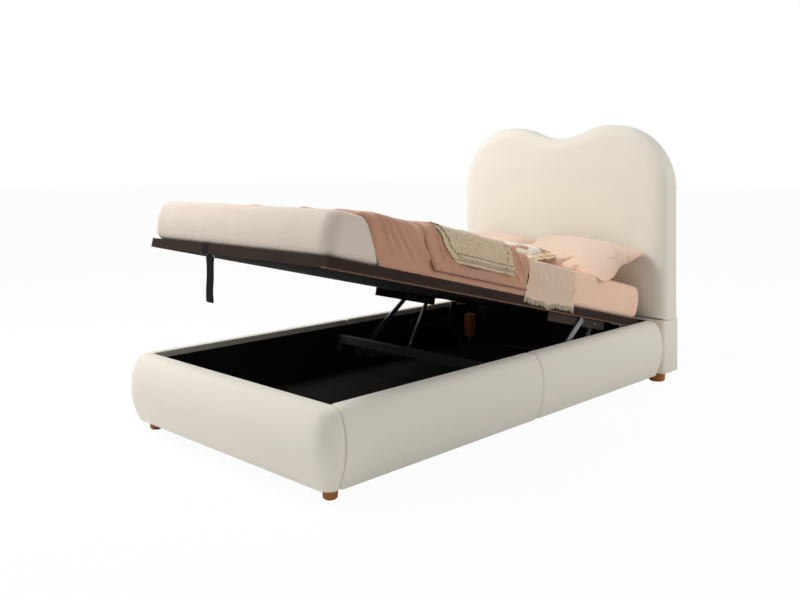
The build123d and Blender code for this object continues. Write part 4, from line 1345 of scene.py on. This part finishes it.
@dataclass
class Bedding:
    """The duvet with its folded half, the knitted throw and the thin fringed blanket."""

    duvet: Layer = field(default_factory=lambda: Layer(
        0.119, 0.222, 1.018, 1.022, 0.004, 0.0012, 0.0155, 0.0125, 0.0034, hem_lift=0.0010, bow=0.006, rim=0.022,
        ripple=0.26, ripple_scale=9.0, seed=1.7, across=170, lengthwise=130, folds=(
            Fold(0.44, 0.15, 0.60, 0.29, 0.007, 0.0065), Fold(0.45, 0.18, 0.61, 0.35, 0.008, 0.0070),
            Fold(0.46, 0.22, 0.61, 0.41, 0.008, 0.0065), Fold(0.47, 0.26, 0.60, 0.46, 0.007, 0.0060),
            Fold(0.48, 0.31, 0.59, 0.47, 0.007, 0.0070), Fold(0.40, 0.16, 0.50, 0.37, 0.006, 0.0080),
            Fold(0.50, 0.20, 0.57, 0.25, 0.006, 0.0060), Fold(0.34, 0.15, 0.46, 0.30, 0.007, 0.0100),
            Fold(0.57, 0.27, 0.62, 0.42, 0.006, 0.0060), Fold(0.18, 0.14, 0.30, 0.36, 0.007, 0.0140),
            Fold(-0.45, 0.18, -0.60, 0.36, 0.008, 0.0080), Fold(-0.46, 0.25, -0.58, 0.44, 0.007, 0.0080),
            Fold(-0.30, 0.16, -0.45, 0.30, 0.008, 0.0120), Fold(-0.10, 0.13, -0.02, 0.36, 0.007, 0.0140),
            Fold(-0.52, 0.60, -0.60, 0.80, 0.008, 0.0090))))
    fold: Layer = field(default_factory=lambda: Layer(
        0.380, 0.476, 0.930, 1.018, 0.027, 0.0172, 0.0115, 0.0125, 0.0120, side_lift=0.0128, hem_lift=0.0095,
        bow=0.012, rim=0.016, ripple=0.26, ripple_scale=8.0, seed=4.2, across=170, lengthwise=110, folds=(
            Fold(0.50, 0.46, 0.59, 0.58, 0.007, 0.0065), Fold(0.53, 0.88, 0.60, 0.98, 0.008, 0.0065),
            Fold(0.47, 0.84, 0.60, 0.93, 0.008, 0.0065), Fold(0.57, 0.60, 0.595, 0.92, 0.006, 0.0060),
            Fold(0.45, 0.42, 0.56, 0.50, 0.007, 0.0070), Fold(0.56, 0.50, 0.59, 0.74, 0.006, 0.0065),
            Fold(0.50, 0.92, 0.58, 1.00, 0.007, 0.0060), Fold(0.20, 0.40, 0.40, 0.46, 0.006, 0.0100),
            Fold(0.44, 0.87, 0.50, 0.92, 0.007, 0.0070), Fold(0.52, 0.47, 0.58, 0.52, 0.006, 0.0055),
            Fold(-0.50, 0.50, -0.58, 0.60, 0.007, 0.0070), Fold(-0.45, 0.85, -0.58, 0.95, 0.008, 0.0080),
            Fold(-0.20, 0.86, 0.05, 0.92, 0.007, 0.0110), Fold(-0.56, 0.60, -0.59, 0.80, 0.006, 0.0070))))
    throw: Layer = field(default_factory=lambda: Layer(
        0.440, 0.560, 0.850, 0.892, 0.066, 0.0345, 0.0, 0.0, 0.0, side_lift=0.0318, bow=0.014, far=-0.12, across=64,
        lengthwise=52, crowded=False))
    throw_over: Layer = field(default_factory=lambda: Layer(
        0.460, 0.577, 0.846, 0.884, 0.086, 0.0388, 0.0, 0.0, 0.0, side_lift=0.0363, bow=0.014, far=-0.12, across=60,
        lengthwise=50, crowded=False))
    gauze: Layer = field(default_factory=lambda: Layer(
        1.010, 1.015, 1.333, 1.366, -0.010, 0.0030, 0.0, 0.0, 0.0, across=150, lengthwise=120, bow=-0.008,
        crowded=False))

    def throw_lift(self, a: float, b: float, along: float, station: float) -> float:
        """Lift of the throw, which follows what it lies on in soft waves, dips at its far edge and lifts loose towards
        its near edge.
        """
        edge = 0.0035 * ease(1 - a / 0.06)
        wave = 0.0040 * ripple((along, station, 0.3), 8.0) + 0.0014 * ripple((along, station, 2.0), 26.0)
        loose = 0.0050 * ease((a - 0.80) / 0.2) * (0.6 + math.sin(station * 31))
        return wave - edge + max(0.0, loose)

    def gauze_lift(self, a: float, b: float, along: float, station: float) -> float:
        """Lift of the thin blanket: fine lengthwise folds that deepen down its sides."""
        length = abs(along)
        down = max(0.0, (length - BED.flat) / (BED.hem(self.gauze.hem) - BED.flat))
        side = ease((length - BED.flat) / 0.05)
        free = ease((BED.hem(0.035) - length) / 0.03)
        pleats = math.sin(station * 150 + 7.5 * ripple((0.0, station, down), 9.0, 2.0) + 2.4 * down)
        broad = ripple((0.4 * down, station * 2.2, 0.0), 11.0, 7.0)
        depth = (0.0010 + 0.0052 * down) * free + 0.0007 * (1 - free)
        open_out = 0.0030 * side + 0.0085 * down * free
        return open_out + depth * (0.55 * pleats + 0.9 * broad) + 0.0008 * ripple((along, station, 1.0), 14.0)

    def hem_wave(self, point: Vector) -> float:
        """How far the thin blanket's side is drawn up at a point, more towards its uneven hem."""
        low = ease((0.10 - point.z) / 0.10) if abs(point.x) > BED.half - 0.01 else 0.0
        return low * (0.006 + 0.0075 * math.sin(point.y * 46 + 0.8) * math.sin(point.y * 17 + 0.3)
                      + 0.003 * ripple((0.0, point.y, 4.0), 30.0))

    def fringe(self) -> Shape:
        """Twisted tassel ends hanging from both hems of the thin blanket."""
        mesh = bmesh.new()
        count = 96
        for sign in (1, -1):
            for index in range(count):
                share = (index + 0.5) / count
                along, station = self.gauze.spot(1.0 if sign > 0 else 0.0, share)
                top = BED.point(along, self.gauze.lift + self.gauze_lift(1.0, share, along, station), station)
                top.z += self.hem_wave(top)
                wander = noise.noise(Vector((index * 0.37, sign * 3.0, 0.0)))
                drift = noise.noise(Vector((index * 1.13, sign * 7.0, 2.0)))
                length = 0.021 + 0.009 * wander
                ring = bmesh.ops.create_circle(mesh, cap_ends=True, segments=4, radius=0.00085,
                                               matrix=Matrix.Translation(top + Vector((0, 0, 0.002))))
                face = ring["verts"][0].link_faces[0]
                for step in range(1, 4):
                    drawn = bmesh.ops.extrude_face_region(mesh, geom=[face])["geom"]
                    face_next = next(item for item in drawn if isinstance(item, Face))
                    if face.is_valid:
                        mesh.faces.remove(face)
                    face = face_next
                    bmesh.ops.translate(mesh, verts=face.verts,
                                        vec=(0.0, 0.0045 * drift * step / 2, -length / 3))
                bmesh.ops.scale(mesh, verts=face.verts, vec=(0.6, 0.6, 1.0),
                                space=Matrix.Translation(-face.calc_center_median()))
        for vertex in mesh.verts:
            side = 1 if vertex.co.x > 0 else -1
            vertex.co.x = side * min(0.5040, max(0.5006, abs(vertex.co.x)))
        bmesh.ops.recalc_face_normals(mesh, faces=mesh.faces)
        return mesh

    def build(self) -> None:
        """Builds every layer."""
        duvet = piece("duvet_lower", self.duvet.filled(), DUVET_CLOTH, "platform", ["duvet"],
                      ON_PLATFORM, crease=80)
        fold = piece("duvet_folded_back", self.fold.filled(), DUVET_CLOTH, "platform",
                     ["duvet_fold"], ON_PLATFORM, crease=80)
        # Dark cords along the fold's foot edge and both hems: partly piping, partly painted shadow lines in the gaps
        # between the fold and the duvet under it.
        for name, layer, side, finish in (("duvet_piping_and_shade_foot", self.fold, "foot", PIPING_AND_SHADE_CLOTH),
                                          ("duvet_piping_and_shade_near", self.fold, "near", PIPING_AND_SHADE_CLOTH),
                                          ("duvet_piping_and_shade_far", self.fold, "far", PIPING_AND_SHADE_CLOTH),
                                          ("duvet_seam_foot", self.duvet, "foot", DUVET_CLOTH)):
            line = cord_along(name, layer.edge_line(side, 90, 0.0014), 0.0017)
            piece(name, line, finish, "platform", (), ON_PLATFORM)
        for name, layer in (("knit_throw_under", self.throw), ("knit_throw_over", self.throw_over)):
            mesh = layer.grid(self.throw_lift)
            chart = chart_of(mesh)
            for face in mesh.faces:
                for corner in face.loops:
                    across, along = corner[chart].uv
                    corner[chart].uv = (across - layer.far, along - layer.start_top)
            bmesh.ops.solidify(mesh, geom=list(mesh.faces), thickness=0.0030)
            width = BED.hem(layer.hem) - layer.far
            finish = KnitCloth(name + "_wool", written(238, 214, 176), written(128, 98, 64), width,
                               layer.end_top - layer.start_top)
            made = piece(name, mesh, finish, "platform",
                         ["knit_throw"] if layer is self.throw else [], ON_PLATFORM, crease=80)
        mesh = self.gauze.grid(self.gauze_lift)
        for vertex in mesh.verts:
            vertex.co.z += self.hem_wave(vertex.co)
        bmesh.ops.solidify(mesh, geom=list(mesh.faces), thickness=0.0006)
        gauze = piece("thin_blanket_gauze", mesh, GAUZE, "platform", ["thin_blanket"], ON_PLATFORM,
                      crease=80)
        fringe = piece("thin_blanket_fringe", self.fringe(), GAUZE_ENDS, "platform", (), ON_PLATFORM)


# ---------------------------------------------------------------- pillows
@dataclass
class Pillow:
    """A pillow: two faces sewn together at the rim and blown up by a cloth simulation."""

    name: str
    length: float
    depth: float
    crown: float
    across: int = 56
    along: int = 46
    pressure: float = 5.0
    frames: int = 34
    seed: float = 0.0

    def blank(self) -> tuple[Shape, list[int]]:
        """The flat, sewn envelope and the indices of its rim, in order."""
        mesh = bmesh.new()
        chart_of(mesh)
        bmesh.ops.create_grid(mesh, x_segments=self.across, y_segments=self.along, size=1.0)
        for vertex in mesh.verts:
            x, y = vertex.co.x, vertex.co.y
            edge = (1 - x * x) * (1 - y * y)
            corner = abs(x * y) ** 5
            wide = 1 - 0.075 * corner + 0.018 * (1 - y * y)
            deep = 1 - 0.075 * corner + 0.018 * (1 - x * x)
            vertex.co = Vector((x * self.length / 2 * wide, y * self.depth / 2 * deep,
                                0.002 + 0.012 * edge * (1 + 0.3 * ripple((x, y, self.seed), 2.5, self.seed))))
        set_chart(mesh, lambda vertex: vertex.co.xy)
        rim = [vertex for vertex in mesh.verts if vertex.is_boundary]
        for vertex in rim:
            vertex.co.z = 0.0
        mesh.normal_update()
        if next(iter(mesh.faces)).normal.z < 0:
            bmesh.ops.reverse_faces(mesh, faces=mesh.faces)
        copied = bmesh.ops.duplicate(mesh, geom=[*mesh.verts, *mesh.edges, *mesh.faces])["geom"]
        for item in copied:
            if isinstance(item, Vert):
                item.co.z = -item.co.z
        bmesh.ops.reverse_faces(mesh, faces=[item for item in copied if isinstance(item, Face)])
        bmesh.ops.remove_doubles(mesh, verts=mesh.verts, dist=0.00001)
        mesh.verts.ensure_lookup_table()
        mesh.verts.index_update()
        rim = [vertex for vertex in mesh.verts if abs(vertex.co.z) < 0.0005]
        rim.sort(key=lambda vertex: math.atan2(vertex.co.y * self.length, vertex.co.x * self.depth))
        return mesh, [vertex.index for vertex in rim]

    def blown(self) -> tuple[Shape, list[int]]:
        """The envelope after the simulation, brought to its size."""
        mesh, rim = self.blank()
        data = bpy.data.meshes.new(self.name + "_blank")
        mesh.to_mesh(data)
        mesh.free()
        result = bmesh.new()
        holder = bpy.data.objects.new(self.name + "_blank", data)
        bpy.context.scene.collection.objects.link(holder)
        cloth = holder.modifiers.new("Cloth", "CLOTH")
        settings = cloth.settings
        settings.effector_weights.gravity = 0.0
        for label, value in (("quality", 6), ("mass", 0.25), ("use_pressure", True),
                             ("uniform_pressure_force", self.pressure), ("tension_stiffness", 22),
                             ("compression_stiffness", 22), ("shear_stiffness", 12),
                             ("bending_stiffness", 0.35), ("air_damping", 2.5)):
            setattr(settings, label, value)
        cloth.point_cache.frame_start = 1
        cloth.point_cache.frame_end = self.frames
        for number in range(1, self.frames + 1):
            bpy.context.scene.frame_set(number)
        graph = bpy.context.evaluated_depsgraph_get()
        blown = bpy.data.meshes.new_from_object(holder.evaluated_get(graph))
        result.from_mesh(blown)
        bpy.data.objects.remove(holder)
        bpy.data.meshes.remove(blown)
        bpy.context.scene.frame_set(1)
        bpy.data.meshes.remove(data)
        lows, highs = ([pick(vertex.co[axis] for vertex in result.verts) for axis in range(3)] for pick in (min, max))
        bmesh.ops.translate(result, verts=result.verts, vec=[-(low + high) / 2 for low, high in zip(lows, highs)])
        sizes = (self.length, self.depth, self.crown)
        bmesh.ops.scale(result, verts=result.verts,
                        vec=[size / (high - low) for size, low, high in zip(sizes, lows, highs)])
        for vertex in result.verts:
            vertex.co.z += 0.0016 * ripple(vertex.co, 16.0, self.seed) * min(1.0, abs(vertex.co.z) / 0.02)
        result.verts.ensure_lookup_table()
        return result, rim


@dataclass
class Laid:
    """Where a pillow lies: leant back, slumped onto the bed and drooping at one corner."""

    x: float
    head: float
    lean: float
    rest: float
    spin: float = 0.0
    roll: float = 0.0
    droop: float = 0.0

    @property
    def turned(self) -> Matrix:
        """Its turn from lying flat, foremost to the bed's foot."""
        return (Matrix.Rotation(math.radians(self.spin), 4, "Z") @ Matrix.Rotation(math.radians(self.lean), 4, "X")
                @ Matrix.Rotation(math.radians(self.roll), 4, "Y"))

    def place(self, mesh: Shape) -> None:
        """Moves a mesh, drawn flat round the origin, onto the bed and flattens what presses on it."""
        bmesh.ops.transform(mesh, matrix=self.turned, verts=mesh.verts)
        low = sorted(vertex.co.z for vertex in mesh.verts)[len(mesh.verts) // 40]
        head = max(vertex.co.y for vertex in mesh.verts)
        bmesh.ops.translate(mesh, verts=mesh.verts, vec=(self.x, self.head - head, self.rest - low))
        for vertex in mesh.verts:
            if abs(vertex.co.x) < BED.flat + 0.008:
                vertex.co.z = max(vertex.co.z, self.rest)
            elif self.droop:
                over = ease((abs(vertex.co.x) - BED.flat) / 0.05)
                floor = self.rest - self.droop * over
                sunk = self.droop * over * ease((self.rest + 0.07 - vertex.co.z) / 0.07)
                vertex.co.z = max(vertex.co.z - sunk, floor)


@dataclass
class Pillows:
    """Two pillows leant on the headboard and a small cushion in front of them."""

    rest: float = 0.1504
    sleeper: Pillow = field(default_factory=lambda: Pillow("pillow", 0.505, 0.405, 0.122))
    scatter: Pillow = field(default_factory=lambda: Pillow("cushion", 0.405, 0.305, 0.088, 46, 36, 5.5, 30, 3.0))

    def cover(self, name: str, shape: Shape, rim: list[int], laid: Laid, finish: object,
              cord_finish: object, node: str) -> None:
        """Dresses one pillow and its seam cord.

        Args:
            name: Name of the piece.
            shape: The blown mesh, used up here.
            rim: Indices of its seam.
            laid: Where it lies.
            finish: Finish of its cloth.
            cord_finish: Finish of its seam.
            node: The CAD node it stands for.
        """
        laid.place(shape)
        shape.verts.ensure_lookup_table()
        line = [shape.verts[index].co.copy() for index in rim]
        made = piece(name, shape, finish, "platform", [node], ON_PLATFORM, smooth=1, crease=85)
        piece(name + "_seam", cord_along(name, line, 0.0016, True), cord_finish, "platform", (), ON_PLATFORM)

    def tassels(self, laid: Laid) -> Shape:
        """Short tassels along the cushion's near edge."""
        mesh = bmesh.new()
        half, depth = self.scatter.length / 2, self.scatter.depth / 2
        for index in range(44):
            share = -0.92 + 1.84 * index / 43
            inward = 0.004 * (1 - share * share) + 0.011 * (index % 2)
            root = Vector((half - inward - 0.004, share * depth, 0.003 + 0.009 * (index % 2)))
            way = Vector((1.0, 0.4 * noise.noise(Vector((index * 0.9, 0, 0))) - 0.2, 0.4 * noise.noise(
                Vector((0, index * 0.7, 0))) - 0.35))
            way.normalize()
            facing = way.to_track_quat("Z", "Y").to_matrix().to_4x4()
            reach = 0.034 + 0.008 * noise.noise(Vector((index * 1.7, 3, 0)))
            bmesh.ops.create_cone(mesh, cap_ends=True, segments=7, radius1=0.0028, radius2=0.0046, depth=reach,
                                  matrix=Matrix.Translation(root + way * reach / 2) @ facing)
            bmesh.ops.create_uvsphere(mesh, u_segments=7, v_segments=5, radius=0.0036,
                                      matrix=Matrix.Translation(root + way * 0.002))
        bmesh.ops.transform(mesh, matrix=laid.turned, verts=mesh.verts)
        bmesh.ops.recalc_face_normals(mesh, faces=mesh.faces)
        return mesh

    def build(self) -> None:
        """Builds the three pillows."""
        shape, rim = self.sleeper.blown()
        mirrored = shape.copy()
        bmesh.ops.scale(mirrored, verts=mirrored.verts, vec=(-1, 1, 1))
        bmesh.ops.reverse_faces(mirrored, faces=mirrored.faces)
        self.cover("pillow_near_case", shape, rim, Laid(0.270, 1.902, 24, self.rest, spin=5, roll=5, droop=0.018),
                   PILLOW_CLOTH, PILLOW_CORD, "pillow_near")
        self.cover("pillow_far_case", mirrored, rim, Laid(-0.254, 1.898, 25, self.rest, spin=2),
                   PILLOW_CLOTH, PILLOW_CORD, "pillow_far")
        small, rim = self.scatter.blown()
        laid = Laid(0.048, 1.550, 13, self.rest + 0.0035, spin=4)
        tassels = self.tassels(laid)
        spot = Vector((laid.x, laid.head - 0.150, self.rest + 0.044))
        bmesh.ops.translate(tassels, verts=tassels.verts, vec=spot)
        self.cover("cushion_case", small, rim, laid, PATCHED, PILLOW_CORD, "cushion")
        piece("cushion_tassels", tassels, TASSEL, "platform", (), ON_PLATFORM)


# ---------------------------------------------------------------- studio
@dataclass
class Studio:
    """Plain pale floor, soft lamps and the camera at the photograph's viewpoint."""

    eye: tuple[float, float, float] = (2.4295, -2.6963, 0.9907)
    heading: float = 43.95
    lens: float = 38.70
    shift: float = -0.16639
    soft_light: float = 0.46
    floor_glow: float = 0.955

    def camera(self) -> None:
        """Creates the camera."""
        data = bpy.data.cameras.new("view")
        data.sensor_width = 36.0
        data.lens = self.lens
        data.shift_y = self.shift
        data.clip_end = 60.0
        camera = bpy.data.objects.new("view", data)
        camera.location = self.eye
        camera.rotation_euler = (math.radians(90), 0.0, math.radians(self.heading))
        bpy.context.scene.collection.objects.link(camera)
        bpy.context.scene.camera = camera

    def lamp(self, name: str, place: Sequence[float], aim: Sequence[float], size: float, power: float,
             colour: Colour = (1.0, 1.0, 1.0)) -> None:
        """A square soft lamp aimed at a point."""
        data = bpy.data.lights.new(name, "AREA")
        data.shape = "SQUARE"
        data.size = size
        data.energy = power
        data.color = colour
        lamp = bpy.data.objects.new(name, data)
        lamp.location = place
        lamp.rotation_euler = (Vector(aim) - Vector(place)).to_track_quat("-Z", "Y").to_euler()
        bpy.context.scene.collection.objects.link(lamp)

    def world(self) -> None:
        """A soft grey surround that shows white where the camera, gloss or glass looks straight at it."""
        world = bpy.data.worlds.new("surround")
        bpy.context.scene.world = world
        world.use_nodes = True
        wiring = Wiring(world.node_tree)
        wiring.tree.nodes.clear()
        path = wiring.node("ShaderNodeLightPath", {}).outputs
        seen = wiring.maths("MAXIMUM", path["Is Camera Ray"], path["Is Transmission Ray"])
        seen = wiring.maths("MAXIMUM", seen, path["Is Glossy Ray"])
        soft, white = (wiring.node("ShaderNodeBackground", {"Color": colour, "Strength": strength}).outputs[0]
                       for colour, strength in (((1.0, 0.995, 0.985), self.soft_light), ((1.0, 1.0, 1.0), 1.0)))
        mix = wiring.node("ShaderNodeMixShader", {0: seen, 1: soft, 2: white})
        wiring.node("ShaderNodeOutputWorld", {"Surface": mix.outputs[0]})

    def floor(self) -> None:
        """A wide pale floor that takes the bed's shadow."""
        mesh = bmesh.new()
        bmesh.ops.create_grid(mesh, x_segments=2, y_segments=2, size=40.0)
        data = bpy.data.meshes.new("studio_floor")
        mesh.to_mesh(data)
        mesh.free()
        floor = bpy.data.objects.new("studio_floor", data)
        bpy.context.scene.collection.objects.link(floor)
        material = bpy.data.materials.new("studio_floor_paint")
        material.use_nodes = True
        wiring = Wiring(material.node_tree)
        shader = wiring.tree.nodes["Principled BSDF"]
        for label, value in (("Base Color", (0.93, 0.93, 0.93)), ("Roughness", 1.0), ("Specular IOR Level", 0.0)):
            wiring.feed(shader.inputs[label], value)
        glow = wiring.node("ShaderNodeEmission", {"Strength": 1.0})
        path = wiring.node("ShaderNodeLightPath", {})
        share = wiring.maths("MULTIPLY", path.outputs["Is Camera Ray"], self.floor_glow)
        mix = wiring.node("ShaderNodeMixShader", {0: share, 1: shader.outputs[0], 2: glow.outputs[0]})
        wiring.feed(wiring.tree.nodes["Material Output"].inputs["Surface"], mix.outputs[0])
        data.materials.append(material)

    def build(self) -> None:
        """Sets the whole studio up."""
        bpy.context.scene.view_settings.view_transform = "Standard"
        self.camera()
        self.world()
        self.floor()
        self.lamp("key", (-1.7, -1.5, 3.1), (0.0, 0.9, 0.75), 2.0, 92.0)
        self.lamp("front", (-2.2, -4.6, 2.4), (0.0, -0.6, 0.4), 2.4, 24.0)
        self.lamp("side", (3.6, 2.0, 2.2), (0.4, 0.9, 0.4), 1.8, 38.0)


def main() -> None:
    """Builds the bed's classes in order."""
    logging.basicConfig(level=logging.INFO, format="%(name)s %(message)s")
    for part in (Studio, RailPadding, Headboard, StorageBox, Lift, Platform, Mattress, Bedding, Pillows):
        part().build()


if __name__ == "__main__":
    main()
